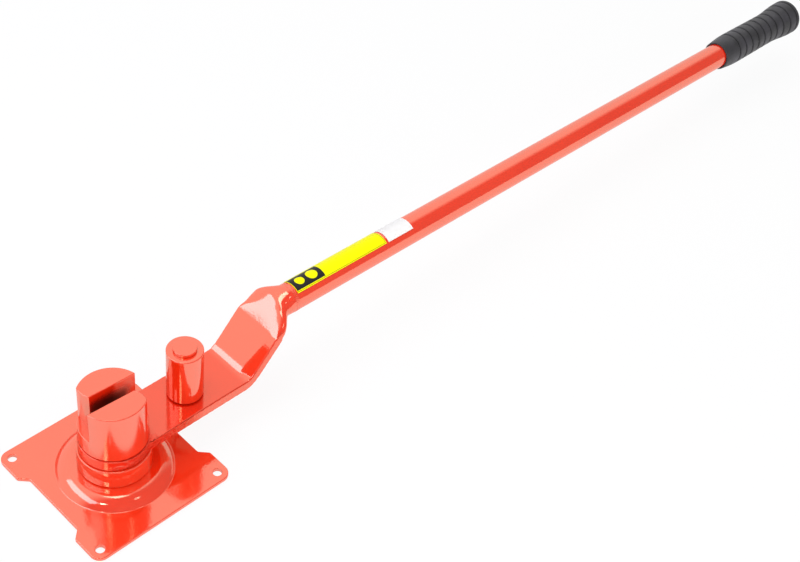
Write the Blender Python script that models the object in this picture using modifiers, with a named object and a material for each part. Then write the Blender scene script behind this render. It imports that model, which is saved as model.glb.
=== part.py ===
"""Rebar bender: a bench-mounted post with a slotted head, and a cranked lever that swings about it.

Metres, +Z up. The origin is the centre of the base plate's underside, on the post's axis, and the
lever points along +X. The plate is bolted down, a bar lies in the head's slot, and the roller on the
lever's pin pushes the bar round the head.
"""
import math

import bmesh
import bpy
from mathutils import Matrix, Vector

# Clearances
CLEARANCE = 0.0003            # between pieces that touch, all round
RUNNING_GAP = 0.0006          # between the eye of the arm and the faces above and below it
OVERRUN = 0.002               # how far a cutter runs past what it cuts

# Base plate: a square sheet with recessed edges between its ears, pressed up in the middle
PLATE_SIDE = 0.150
PLATE_THICKNESS = 0.004
PLATE_CORNER_RADIUS = 0.010
PLATE_HOLE_INSET = 0.010      # from the plate's edges to the centres of its bolt holes
PLATE_HOLE_DIAMETER = 0.0084
EAR_LENGTH = 0.032            # from the plate's corner to the start of the sloping step
EDGE_RECESS = 0.008           # depth of the step, which slopes at 45 degrees
DOME_RISE = 0.009
DOME_TOP_MARGIN = 0.0053      # flat ring left round the boss
DOME_FLANK = 0.013            # width of the sloping flank

# Boss: the turned ring on the dome that lifts the arm clear of the plate
BOSS_DIAMETER = 0.0674
BOSS_HEIGHT = 0.0214
BOSS_SPIGOT_DIAMETER = 0.052  # lower end, which passes through the dome
BOSS_SPIGOT_PROUD = 0.0006    # how far the spigot stands below the dome's sheet
BOSS_TOP_CHAMFER = 0.0006
BOSS_FOOT_CHAMFER = 0.0016

# Pivot shaft
SHAFT_DIAMETER = 0.036
SHAFT_CHAMFER = 0.001
SHAFT_SOCKET_DEPTH = 0.013    # how far the shaft enters the head
SHAFT_TAIL = 0.0015           # how far it stands below the boss

# Slotted head: a round block whose halves are each cut back at one end of the slot
HEAD_DIAMETER = 0.062
HEAD_HEIGHT = 0.0537
HEAD_TOP_CHAMFER = 0.0009
HEAD_FOOT_CHAMFER = 0.0006
SLOT_WIDTH = 0.0154
SLOT_DEPTH = 0.036
SLOT_TURN = math.radians(-3)  # from the lever's direction at rest to the slot's
NOSE_REACH = 0.021            # from the post's axis to the end of a half that is cut back
NOSE_RADIUS = 0.0185          # rounding of that end, which the bar bends round
NOSE_OFFSET = 0.0186          # centre of that rounding, sideways from the post's axis
PLUG_DIAMETER = 0.012         # plug weld between the shaft's end and the floor of the slot

# Crank arm: a flat bar with an eye, cranked upwards and drawn in to meet the tube
ARM_WIDTH = 0.055
ARM_THICKNESS = 0.011
ARM_EDGE_RADIUS = 0.0016
EYE_DIAMETER = 0.064
EYE_PROUD = 0.0002            # how far the eye's machined faces stand above the bar's
EYE_CHAMFER = 0.0008
CRANK_START = 0.1368          # from the post's axis to the lower bend, on the bar's middle line
CRANK_RISE = 0.0412
CRANK_ANGLE = math.radians(48.5)
LOWER_BEND_RADIUS = 0.021     # of the lower bend, on the bar's middle line
UPPER_BEND_RADIUS = 0.0155
NECK_TAPER = 0.018            # length in which each side narrows to the tube
NECK_NEAR_DELAY = 0.001       # from the upper bend to where the -Y side starts to narrow
NECK_FAR_DELAY = 0.0117       # and to where the +Y side does
SPIGOT_LENGTH = 0.028         # the arm's round end, inside the tube

# Bush and washers in the eye
BUSH_WALL = 0.0027
WASHER_RECESS = 0.0016
WASHER_DIAMETER = 0.052

# Handle tube
TUBE_DIAMETER = 0.029
TUBE_WALL = 0.0025
TUBE_LENGTH = 0.854
TUBE_DROP = math.radians(1.45)    # how far the tube slopes down towards the grip
TUBE_WELD_DEPTH = 0.0021          # of the V between the neck and the tube
TUBE_WELD_CROWN = 0.0004

# Bending pin and its roller
PIN_DISTANCE = 0.080
PIN_DIAMETER = 0.019
PIN_HEAD_DIAMETER = 0.0216
PIN_HEAD_HEIGHT = 0.003
PIN_CHAMFER = 0.0005
PIN_TAIL = 0.001              # how far the pin stands below the arm
ROLLER_DIAMETER = 0.034
ROLLER_HEIGHT = 0.0545
ROLLER_CHAMFER = 0.0008
ROLLER_WASHER_DIAMETER = 0.028
ROLLER_WASHER_THICKNESS = 0.001

# Fillet welds
BOSS_WELD_LEG = 0.0035
SHAFT_WELD_LEG = 0.003
PIN_WELD_LEG = 0.0035
WELD_CROWN_SHARE = 0.62       # the face of a weld stands this share of its legs from their corner

# Grip: a moulded sleeve, closed and flared at its outer end
GRIP_LENGTH = 0.159
GRIP_END_WALL = 0.005
GRIP_MOUTH_DIAMETER = 0.0335
GRIP_BODY_DIAMETER = 0.038
GRIP_WAIST_DIAMETER = 0.037
GRIP_FLARE_DIAMETER = 0.043
GRIP_SWELL_SHARE = 0.18       # where it reaches its body's diameter
GRIP_WAIST_SHARE = 0.66       # where it is narrowest
GRIP_FLARE_SHARE = 0.93       # where it is widest
GRIP_GROOVES = 10
GRIP_FIRST_GROOVE = 0.0255    # from the mouth to the middle of the first groove
GRIP_GROOVE_PITCH = 0.0137
GRIP_GROOVE_DEPTH = 0.0009
GRIP_GROOVE_WIDTH = 0.0022
GRIP_END_ROUND = 0.009
GRIP_END_ANGLE = math.radians(30)     # where that rounding starts, from the grip's side

# Labels, bent round the top of the tube
LABEL_THICKNESS = 0.0002
LABEL_ARC = math.radians(92)
LABEL_TURN = math.radians(6)  # how far the labels lean towards +Y
SIZE_LABEL_START = 0.0028     # from the end of the tube
SIZE_LABEL_LENGTH = 0.117
LABEL_GAP = 0.003
MARK_LABEL_LENGTH = 0.034

# Shading: faces that meet at a flatter angle than this look like one curved surface
SMOOTH_ANGLE = math.radians(35)

# Points nearer than this are one point: the seam of a turned piece, and the caps of a prism
SEAM_MERGE = 0.00001
CAP_MERGE = 0.000001

# Faces round a full turn, and steps along curves
LARGE_STEPS = 40
SMALL_STEPS = 32
CORNER_STEPS = 4
SIDE_STEPS = 4
BEND_STEPS = 5
NECK_STEPS = 7
DOME_STEPS = 5
EAR_STEPS = 2
MOUTH_STEPS = 3

# Heights and radii that follow from the sizes above
dome_top_z = PLATE_THICKNESS + DOME_RISE
boss_bottom_z = dome_top_z + CLEARANCE
boss_top_z = boss_bottom_z + BOSS_HEIGHT
spigot_bottom_z = dome_top_z - PLATE_THICKNESS - BOSS_SPIGOT_PROUD
eye_thickness = ARM_THICKNESS + EYE_PROUD + EYE_PROUD
eye_bottom_z = boss_top_z + RUNNING_GAP
eye_top_z = eye_bottom_z + eye_thickness
arm_bottom_z = eye_bottom_z + EYE_PROUD
arm_top_z = arm_bottom_z + ARM_THICKNESS
arm_middle_z = arm_bottom_z + ARM_THICKNESS / 2
head_bottom_z = eye_top_z + RUNNING_GAP
head_top_z = head_bottom_z + HEAD_HEIGHT
slot_floor_z = head_top_z - SLOT_DEPTH
shaft_top_z = head_bottom_z + SHAFT_SOCKET_DEPTH
shaft_bottom_z = spigot_bottom_z - SHAFT_TAIL
roller_washer_top_z = arm_top_z + CLEARANCE + ROLLER_WASHER_THICKNESS
roller_bottom_z = roller_washer_top_z + CLEARANCE
roller_top_z = roller_bottom_z + ROLLER_HEIGHT
shaft_radius = SHAFT_DIAMETER / 2
bore_radius = shaft_radius + CLEARANCE
boss_radius = BOSS_DIAMETER / 2
spigot_radius = BOSS_SPIGOT_DIAMETER / 2
dome_top_radius = boss_radius + DOME_TOP_MARGIN
head_radius = HEAD_DIAMETER / 2
eye_radius = EYE_DIAMETER / 2
bush_radius = bore_radius + BUSH_WALL
tube_radius = TUBE_DIAMETER / 2
tube_bore_radius = tube_radius - TUBE_WALL
weld_root_radius = tube_radius - TUBE_WELD_DEPTH
plate_half = PLATE_SIDE / 2
hole_offset = plate_half - PLATE_HOLE_INSET
pin_radius = PIN_DIAMETER / 2

# The neck's end, where the tube's axis starts
crank_end_x = CRANK_START + CRANK_RISE / math.tan(CRANK_ANGLE)
crank_end_z = arm_middle_z + CRANK_RISE
neck_length = NECK_FAR_DELAY + NECK_TAPER
neck_end_x = crank_end_x + neck_length * math.cos(TUBE_DROP)
neck_end_z = crank_end_z - neck_length * math.sin(TUBE_DROP)
tube_lift = tube_radius - ARM_THICKNESS / 2
tube_start = Vector((neck_end_x + tube_lift * math.sin(TUBE_DROP), 0,
                     neck_end_z + tube_lift * math.cos(TUBE_DROP)))
tube_turn = Matrix.Rotation(math.pi / 2 + TUBE_DROP, 4, "Y")
tube_frame = Matrix.Translation(tube_start) @ tube_turn
tube_bottom = CLEARANCE
tube_top = tube_bottom + TUBE_LENGTH
grip_top = tube_top + CLEARANCE + GRIP_END_WALL
grip_bottom = grip_top - GRIP_LENGTH


def clear_scene():
    for item in list(bpy.data.objects):
        bpy.data.objects.remove(item, do_unlink=True)


def make_collection(name):
    collection = bpy.data.collections.new(name)
    bpy.context.scene.collection.children.link(collection)
    return collection


def make_material(name, colour, roughness, metallic):
    material = bpy.data.materials.new(name)
    material.use_nodes = True
    shader = material.node_tree.nodes["Principled BSDF"]
    shader.inputs["Base Color"].default_value = (*colour, 1)
    shader.inputs["Roughness"].default_value = roughness
    shader.inputs["Metallic"].default_value = metallic
    return material


def make_mesh_object(name, vertices, faces, edges=()):
    mesh = bpy.data.meshes.new(name)
    mesh.from_pydata(vertices, edges, faces)
    mesh.update()
    item = bpy.data.objects.new(name, mesh)
    parts.objects.link(item)
    return item


def make_smoothing():
    """A node group that shades smooth all but the edges where faces meet at a sharp angle."""
    group = bpy.data.node_groups.new("smooth_by_angle", "GeometryNodeTree")
    group.is_modifier = True
    for direction in ("INPUT", "OUTPUT"):
        group.interface.new_socket("Geometry", in_out=direction, socket_type="NodeSocketGeometry")
    start = group.nodes.new("NodeGroupInput")
    faces = group.nodes.new("GeometryNodeSetShadeSmooth")
    edges = group.nodes.new("GeometryNodeSetShadeSmooth")
    angle = group.nodes.new("GeometryNodeInputMeshEdgeAngle")
    flatter = group.nodes.new("FunctionNodeCompare")
    end = group.nodes.new("NodeGroupOutput")
    edges.domain = "EDGE"
    flatter.operation = "LESS_THAN"
    flatter.inputs["B"].default_value = SMOOTH_ANGLE
    group.links.new(start.outputs["Geometry"], faces.inputs["Geometry"])
    group.links.new(faces.outputs["Geometry"], edges.inputs["Geometry"])
    group.links.new(angle.outputs["Unsigned Angle"], flatter.inputs["A"])
    group.links.new(flatter.outputs["Result"], edges.inputs["Shade Smooth"])
    group.links.new(edges.outputs["Geometry"], end.inputs["Geometry"])
    return group


def dress(item, material, parent=None):
    """Give a piece its material and smooth shading, and hang it from its pivot."""
    item.data.materials.clear()
    item.data.materials.append(material)
    item.modifiers.new("smooth", "NODES").node_group = smoothing
    if parent is not None:
        item.parent = parent
        item.matrix_parent_inverse = parent.matrix_world.inverted()
    return item


def as_cutter(item):
    parts.objects.unlink(item)
    cutters.objects.link(item)
    item.hide_render = True
    item.display_type = "WIRE"
    return item


def combine(item, other, operation):
    """Cut or join one piece with another, which becomes a hidden tool."""
    modifier = item.modifiers.new(operation.lower(), "BOOLEAN")
    modifier.operation = operation
    modifier.solver = "EXACT"
    modifier.object = as_cutter(other)
    return item


def turned(name, profile, steps, closed=True):
    """Turn a profile of (radius, height) points about Z; the outer side runs downwards."""
    vertices = [(radius, 0, height) for radius, height in profile]
    edges = [(index, index + 1) for index in range(len(vertices) - 1)]
    if closed:
        edges.append((len(vertices) - 1, 0))
    item = make_mesh_object(name, vertices, [], edges)
    screw = item.modifiers.new("turn", "SCREW")
    screw.axis = "Z"
    screw.angle = math.tau
    screw.steps = steps
    screw.render_steps = steps
    screw.use_merge_vertices = True
    screw.merge_threshold = SEAM_MERGE
    screw.use_smooth_shade = True
    return item


def ring(name, inner, outer, bottom, top, steps, outer_chamfer=0.0):
    """A turned ring with chamfered outer edges."""
    if outer_chamfer:
        side = [(outer - outer_chamfer, top), (outer, top - outer_chamfer),
                (outer, bottom + outer_chamfer), (outer - outer_chamfer, bottom)]
    else:
        side = [(outer, top), (outer, bottom)]
    return turned(name, [(inner, top), *side, (inner, bottom)], steps)


def drum(name, radius, bottom, top, steps):
    """A plain round cutter, standing on Z."""
    return turned(name, [(0, top), (radius, top), (radius, bottom), (0, bottom)], steps, closed=False)


def prism(name, outline, bottom, top):
    """Extrude a flat outline of (x, y) points between two heights."""
    curve = bpy.data.curves.new(name, "CURVE")
    curve.dimensions = "2D"
    curve.fill_mode = "BOTH"
    curve.extrude = (top - bottom) / 2
    spline = curve.splines.new("POLY")
    spline.points.add(len(outline) - 1)
    for point, (x, y) in zip(spline.points, outline):
        point.co = (x, y, 0, 1)
    spline.use_cyclic_u = True
    guide = bpy.data.objects.new(name + "_outline", curve)
    parts.objects.link(guide)
    guide.location.z = (bottom + top) / 2
    bpy.context.view_layer.update()
    evaluated = guide.evaluated_get(bpy.context.evaluated_depsgraph_get())
    mesh = bpy.data.meshes.new_from_object(evaluated)
    shape = bmesh.new()
    shape.from_mesh(mesh)
    bmesh.ops.remove_doubles(shape, verts=shape.verts, dist=CAP_MERGE)
    shape.to_mesh(mesh)
    shape.free()
    item = bpy.data.objects.new(name, mesh)
    parts.objects.link(item)
    item.matrix_world = guide.matrix_world
    bpy.data.objects.remove(guide, do_unlink=True)
    return item


def loft(name, sections):
    """Skin a list of closed loops of points, and close both ends with flat faces."""
    count = len(sections[0])
    vertices = [point for section in sections for point in section]
    faces = []
    for row in range(len(sections) - 1):
        for index in range(count):
            after = (index + 1) % count
            low, high = row * count, (row + 1) * count
            faces.append((low + index, low + after, high + after, high + index))
    faces.append(tuple(range(count - 1, -1, -1)))
    last = (len(sections) - 1) * count
    faces.append(tuple(range(last, last + count)))
    item = make_mesh_object(name, vertices, faces)
    shape = bmesh.new()
    shape.from_mesh(item.data)
    bmesh.ops.recalc_face_normals(shape, faces=shape.faces)
    shape.to_mesh(item.data)
    shape.free()
    return item


def arc(centre, radius, start, end, steps):
    """Points along a circle, from one angle to another."""
    spread = [start + (end - start) * index / steps for index in range(steps + 1)]
    return [(centre[0] + radius * math.cos(angle), centre[1] + radius * math.sin(angle))
            for angle in spread]


def divided(start, end, count):
    """Evenly spaced points from one corner of an outline towards the next, without the last."""
    return [tuple(a + (b - a) * index / count for a, b in zip(start, end))
            for index in range(count)]


def smooth(share):
    """Ease from 0 to 1."""
    share = min(1, max(0, share))
    return share * share * (3 - 2 * share)


def plate_outline():
    """One turn of the plate's edge, anticlockwise: rounded corners, and a recess on the X sides."""
    corner = plate_half - PLATE_CORNER_RADIUS
    ear_end = plate_half - EAR_LENGTH
    step_end = ear_end - EDGE_RECESS
    recess = plate_half - EDGE_RECESS
    quarter = divided((recess, 0), (recess, step_end), SIDE_STEPS) + [(recess, step_end)]
    quarter += divided((plate_half, ear_end), (plate_half, corner), EAR_STEPS)
    quarter += arc((corner, corner), PLATE_CORNER_RADIUS, 0, math.pi / 2, CORNER_STEPS)
    quarter += divided((corner, plate_half), (0, plate_half), SIDE_STEPS + SIDE_STEPS)[1:]
    half = quarter + [(0, plate_half)] + [(-x, y) for x, y in reversed(quarter[1:])]
    return half + [(-x, -y) for x, y in half]


def dome_height(radius):
    """Height of the pressed sheet's top face: a flat top, an S-shaped flank and a flat foot."""
    share = (radius - dome_top_radius) / DOME_FLANK
    share = min(1, max(0, share))
    return PLATE_THICKNESS + DOME_RISE * (1 + math.cos(math.pi * share)) / 2


def make_base_plate():
    """Rings of points run out from the middle, over the dome's flank, to the plate's outline."""
    outline = plate_outline()
    radii = [shaft_radius]
    radii += [dome_top_radius + DOME_FLANK * step / DOME_STEPS
              for step in range(-1, DOME_STEPS + 2)]
    rings = [[(radius * x / math.hypot(x, y), radius * y / math.hypot(x, y), dome_height(radius))
              for x, y in outline] for radius in radii]
    rings.append([(x, y, PLATE_THICKNESS) for x, y in outline])
    count = len(outline)
    faces = [(row * count + index, (row + 1) * count + index,
              (row + 1) * count + (index + 1) % count, row * count + (index + 1) % count)
             for row in range(len(rings) - 1) for index in range(count)]
    plate = make_mesh_object("base_plate", [point for row in rings for point in row], faces)
    wall = plate.modifiers.new("sheet", "SOLIDIFY")
    wall.thickness = PLATE_THICKNESS
    wall.offset = -1
    wall.use_even_offset = True
    for side_x in (-1, 1):
        for side_y in (-1, 1):
            hole = drum("bolt_hole", PLATE_HOLE_DIAMETER / 2, -OVERRUN, PLATE_THICKNESS + OVERRUN,
                        SMALL_STEPS)
            hole.location = (side_x * hole_offset, side_y * hole_offset, 0)
            combine(plate, hole, "DIFFERENCE")
    bore = drum("boss_hole", spigot_radius + CLEARANCE, -OVERRUN, dome_top_z + OVERRUN, LARGE_STEPS)
    return combine(plate, bore, "DIFFERENCE")


def make_base_boss():
    profile = [(bore_radius, boss_top_z),
               (boss_radius - BOSS_TOP_CHAMFER, boss_top_z),
               (boss_radius, boss_top_z - BOSS_TOP_CHAMFER),
               (boss_radius, boss_bottom_z + BOSS_FOOT_CHAMFER),
               (boss_radius - BOSS_FOOT_CHAMFER, boss_bottom_z),
               (spigot_radius, boss_bottom_z),
               (spigot_radius, spigot_bottom_z),
               (bore_radius, spigot_bottom_z)]
    return turned("base_boss", profile, LARGE_STEPS)


def make_pivot_shaft():
    profile = [(0, shaft_top_z),
               (shaft_radius - SHAFT_CHAMFER, shaft_top_z),
               (shaft_radius, shaft_top_z - SHAFT_CHAMFER),
               (shaft_radius, shaft_bottom_z),
               (0, shaft_bottom_z)]
    return turned("pivot_shaft", profile, LARGE_STEPS, closed=False)


def slot_tool(name, outline):
    """A cutter down to the floor of the slot, its outline turned with the slot."""
    cutter = prism(name, outline, slot_floor_z, head_top_z + OVERRUN)
    cutter.rotation_euler.z = SLOT_TURN
    return cutter


def nose_cutter(side):
    """Cuts one half of the head back to a rounded nose, at the end of the slot."""
    centre = (NOSE_RADIUS - NOSE_REACH, NOSE_OFFSET)
    start = math.pi + math.asin((NOSE_OFFSET - SLOT_WIDTH / 2) / NOSE_RADIUS)
    outline = arc(centre, NOSE_RADIUS, start, math.pi / 2, LARGE_STEPS // 2)
    far = -head_radius - OVERRUN
    side_y = max(head_radius, NOSE_OFFSET + NOSE_RADIUS) + OVERRUN
    outline += [(centre[0], side_y), (far, side_y), (far, 0), (outline[0][0], 0)]
    outline = [(side * x, side * y) for x, y in outline]
    return slot_tool("nose_cutter", outline)


def make_slotted_head():
    profile = [(0, head_top_z),
               (head_radius - HEAD_TOP_CHAMFER, head_top_z),
               (head_radius, head_top_z - HEAD_TOP_CHAMFER),
               (head_radius, head_bottom_z + HEAD_FOOT_CHAMFER),
               (head_radius - HEAD_FOOT_CHAMFER, head_bottom_z),
               (bore_radius, head_bottom_z),
               (bore_radius, shaft_top_z + CLEARANCE),
               (0, shaft_top_z + CLEARANCE)]
    head = turned("slotted_head", profile, LARGE_STEPS + LARGE_STEPS // 2, closed=False)
    half_width = SLOT_WIDTH / 2
    reach = head_radius + OVERRUN
    slot = [(-reach, -half_width), (reach, -half_width), (reach, half_width), (-reach, half_width)]
    combine(head, slot_tool("slot_cutter", slot), "DIFFERENCE")
    for side in (1, -1):
        combine(head, nose_cutter(side), "DIFFERENCE")
    plug_hole = drum("plug_hole", PLUG_DIAMETER / 2, shaft_top_z - OVERRUN, slot_floor_z + OVERRUN,
                     SMALL_STEPS)
    return combine(head, plug_hole, "DIFFERENCE")


def make_head_plug_weld():
    bottom = shaft_top_z + CLEARANCE
    top = slot_floor_z - CLEARANCE
    radius = PLUG_DIAMETER / 2 - CLEARANCE
    profile = [(0, top), (radius, top), (radius, bottom), (0, bottom)]
    return turned("head_plug_weld", profile, SMALL_STEPS, closed=False)


def fillet_weld(name, shank_radius, roof_z, leg):
    """A ring of weld in the corner between an upright shank and the flat face above it."""
    inner = shank_radius + CLEARANCE
    top = roof_z - CLEARANCE
    face = leg * WELD_CROWN_SHARE
    profile = [(inner, top), (inner + leg, top), (inner + face, top - face), (inner, top - leg)]
    return turned(name, profile, LARGE_STEPS)


def rounded_section(width, height, radius):
    """A rounded rectangle of (y, z) points about its middle; with full radius it is a circle."""
    count = SMALL_STEPS // 4
    points = []
    for corner in range(4):
        side_y = 1 if corner in (0, 3) else -1
        side_z = 1 if corner in (0, 1) else -1
        for index in range(count):
            angle = (corner + (index + 0.5) / count) * math.pi / 2
            points.append((side_y * (width / 2 - radius) + radius * math.cos(angle),
                           side_z * (height / 2 - radius) + radius * math.sin(angle)))
    return points


def crank_path():
    """Stations along the bar's middle line: x, z, and the bar's slope there."""
    bends = [(CRANK_START, arm_middle_z, 0, CRANK_ANGLE, LOWER_BEND_RADIUS),
             (crank_end_x, crank_end_z, CRANK_ANGLE, -TUBE_DROP, UPPER_BEND_RADIUS)]
    stations = [(0, arm_middle_z, 0)]
    for x, z, before, after, radius in bends:
        turn = after - before
        reach = radius * math.tan(abs(turn) / 2)
        side = math.copysign(radius, turn)
        start_x = x - reach * math.cos(before)
        start_z = z - reach * math.sin(before)
        for step in range(BEND_STEPS + 1):
            heading = before + turn * step / BEND_STEPS
            stations.append((start_x + side * (math.sin(heading) - math.sin(before)),
                             start_z - side * (math.cos(heading) - math.cos(before)), heading))
    bend_x, bend_z, heading = stations[-1]
    for step in range(1, NECK_STEPS + 1):
        share = step / NECK_STEPS
        stations.append((bend_x + (neck_end_x - bend_x) * share,
                         bend_z + (neck_end_z - bend_z) * share, heading))
    return stations


def make_crank_arm():
    """The bar is a loft of rounded sections along its bent middle line, from the eye to the spigot."""
    sections = []
    narrowing = (ARM_WIDTH - TUBE_DIAMETER) / 2
    for x, z, heading in crank_path():
        near = smooth((x - crank_end_x - NECK_NEAR_DELAY) / NECK_TAPER)
        far = smooth((x - crank_end_x - NECK_FAR_DELAY) / NECK_TAPER)
        swell = near * far
        width = ARM_WIDTH - narrowing * (near + far)
        shift = narrowing * (near - far) / 2
        height = ARM_THICKNESS + (TUBE_DIAMETER - ARM_THICKNESS) * swell
        radius = ARM_EDGE_RADIUS + (min(width, height) / 2 - ARM_EDGE_RADIUS) * swell
        lift = (height - ARM_THICKNESS) / 2
        sections.append([(x - (lift + up) * math.sin(heading), side + shift,
                          z + (lift + up) * math.cos(heading))
                         for side, up in rounded_section(width, height, radius)])
    root, spigot = weld_root_radius, tube_bore_radius - CLEARANCE
    sections.pop()
    for radius, along in ((tube_radius, -TUBE_WELD_DEPTH), (root, 0), (spigot, 0),
                          (spigot, SPIGOT_LENGTH)):
        sections.append([tube_frame @ Vector((-up, side, along))
                         for side, up in rounded_section(2 * radius, 2 * radius, radius)])
    arm = loft("crank_arm", sections)
    eye = turned("arm_eye", [(0, eye_top_z), (eye_radius - EYE_CHAMFER, eye_top_z),
                             (eye_radius, eye_top_z - EYE_CHAMFER),
                             (eye_radius, eye_bottom_z + EYE_CHAMFER),
                             (eye_radius - EYE_CHAMFER, eye_bottom_z), (0, eye_bottom_z)],
                 LARGE_STEPS, closed=False)
    combine(arm, eye, "UNION")
    recess_radius = WASHER_DIAMETER / 2 + CLEARANCE
    low, high = eye_bottom_z - OVERRUN, eye_top_z + OVERRUN
    combine(arm, drum("eye_bore", bush_radius + CLEARANCE, low, high, LARGE_STEPS), "DIFFERENCE")
    combine(arm, drum("lower_recess", recess_radius, low, eye_bottom_z + WASHER_RECESS,
                      LARGE_STEPS), "DIFFERENCE")
    combine(arm, drum("upper_recess", recess_radius, eye_top_z - WASHER_RECESS, high,
                      LARGE_STEPS), "DIFFERENCE")
    pin_hole = drum("pin_hole", pin_radius + CLEARANCE, low, high, SMALL_STEPS)
    pin_hole.location.x = PIN_DISTANCE
    return combine(arm, pin_hole, "DIFFERENCE")


def make_handle_tube():
    """An open tube whose near end is chamfered for the weld."""
    profile = [(tube_bore_radius, tube_top), (tube_radius, tube_top),
               (tube_radius, tube_bottom + TUBE_WELD_DEPTH), (weld_root_radius, tube_bottom),
               (tube_bore_radius, tube_bottom)]
    tube = turned("handle_tube", profile, SMALL_STEPS)
    tube.matrix_world = tube_frame
    return tube


def make_tube_weld():
    """Fills the V between the neck and the tube, a little proud of both."""
    middle = CLEARANCE / 2
    root = weld_root_radius + CLEARANCE * math.sqrt(2) - CLEARANCE / 2
    half_width = tube_radius - root
    profile = [(tube_radius, middle + half_width), (tube_radius + TUBE_WELD_CROWN, middle),
               (tube_radius, middle - half_width), (root, middle)]
    weld = turned("tube_weld", profile, SMALL_STEPS)
    weld.matrix_world = tube_frame
    return weld


def make_bending_pin():
    head_bottom = roller_top_z + CLEARANCE
    head_top = head_bottom + PIN_HEAD_HEIGHT
    pin_head_radius = PIN_HEAD_DIAMETER / 2
    bottom = arm_bottom_z - PIN_TAIL
    profile = [(0, head_top), (pin_head_radius - PIN_CHAMFER, head_top),
               (pin_head_radius, head_top - PIN_CHAMFER), (pin_head_radius, head_bottom),
               (pin_radius, head_bottom), (pin_radius, bottom), (0, bottom)]
    return turned("bending_pin", profile, SMALL_STEPS, closed=False)


def make_pin_roller():
    return ring("pin_roller", pin_radius + CLEARANCE, ROLLER_DIAMETER / 2, roller_bottom_z,
                roller_top_z, LARGE_STEPS, ROLLER_CHAMFER)


def grip_radius(share):
    """The grip's outer radius before its grooves, from its mouth at 0 to its end at 1."""
    mouth, body = GRIP_MOUTH_DIAMETER / 2, GRIP_BODY_DIAMETER / 2
    waist, flare = GRIP_WAIST_DIAMETER / 2, GRIP_FLARE_DIAMETER / 2
    if share < GRIP_SWELL_SHARE:
        return mouth + (body - mouth) * math.sin(share / GRIP_SWELL_SHARE * math.pi / 2)
    if share < GRIP_WAIST_SHARE:
        span = (share - GRIP_SWELL_SHARE) / (GRIP_WAIST_SHARE - GRIP_SWELL_SHARE)
        return body + (waist - body) * smooth(span)
    return waist + (flare - waist) * smooth((share - GRIP_WAIST_SHARE)
                                            / (GRIP_FLARE_SHARE - GRIP_WAIST_SHARE))


def make_handle_grip():
    """A turned sleeve with a blind bore; its grooves are V-shaped and evenly spaced."""
    bore = tube_radius + CLEARANCE
    outer = []
    for step in range(MOUTH_STEPS):
        along = GRIP_FIRST_GROOVE * step / MOUTH_STEPS
        outer.append((grip_radius(along / GRIP_LENGTH), grip_bottom + along))
    for index in range(GRIP_GROOVES):
        middle = grip_bottom + GRIP_FIRST_GROOVE + GRIP_GROOVE_PITCH * index
        for offset, depth in ((-GRIP_GROOVE_WIDTH / 2, 0), (0, GRIP_GROOVE_DEPTH),
                              (GRIP_GROOVE_WIDTH / 2, 0)):
            share = (middle + offset - grip_bottom) / GRIP_LENGTH
            outer.append((grip_radius(share) - depth, middle + offset))
    flare = GRIP_FLARE_DIAMETER / 2
    for radius, along in arc((flare - GRIP_END_ROUND, grip_top - GRIP_END_ROUND), GRIP_END_ROUND,
                             GRIP_END_ANGLE, math.pi / 2, CORNER_STEPS):
        outer.append((radius, along))
    outer.append((0, grip_top))
    profile = list(reversed(outer))
    profile += [(bore, grip_bottom), (bore, grip_top - GRIP_END_WALL),
                (0, grip_top - GRIP_END_WALL)]
    grip = turned("handle_grip", profile, SMALL_STEPS, closed=False)
    grip.matrix_world = tube_frame
    return grip


def make_label(name, start, length):
    """A thin sheet bent round the top of the tube."""
    radius = tube_radius + CLEARANCE
    steps = SMALL_STEPS // 2
    rows = []
    for along in (start, start + length):
        for step in range(steps + 1):
            angle = LABEL_TURN + LABEL_ARC * (step / steps - 0.5)
            rows.append((-radius * math.cos(angle), radius * math.sin(angle), along))
    faces = [(index, index + 1, steps + 2 + index, steps + 1 + index) for index in range(steps)]
    label = make_mesh_object(name, rows, faces)
    sheet = label.modifiers.new("sheet", "SOLIDIFY")
    sheet.thickness = LABEL_THICKNESS
    sheet.offset = 1
    label.matrix_world = tube_frame
    return label


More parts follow.
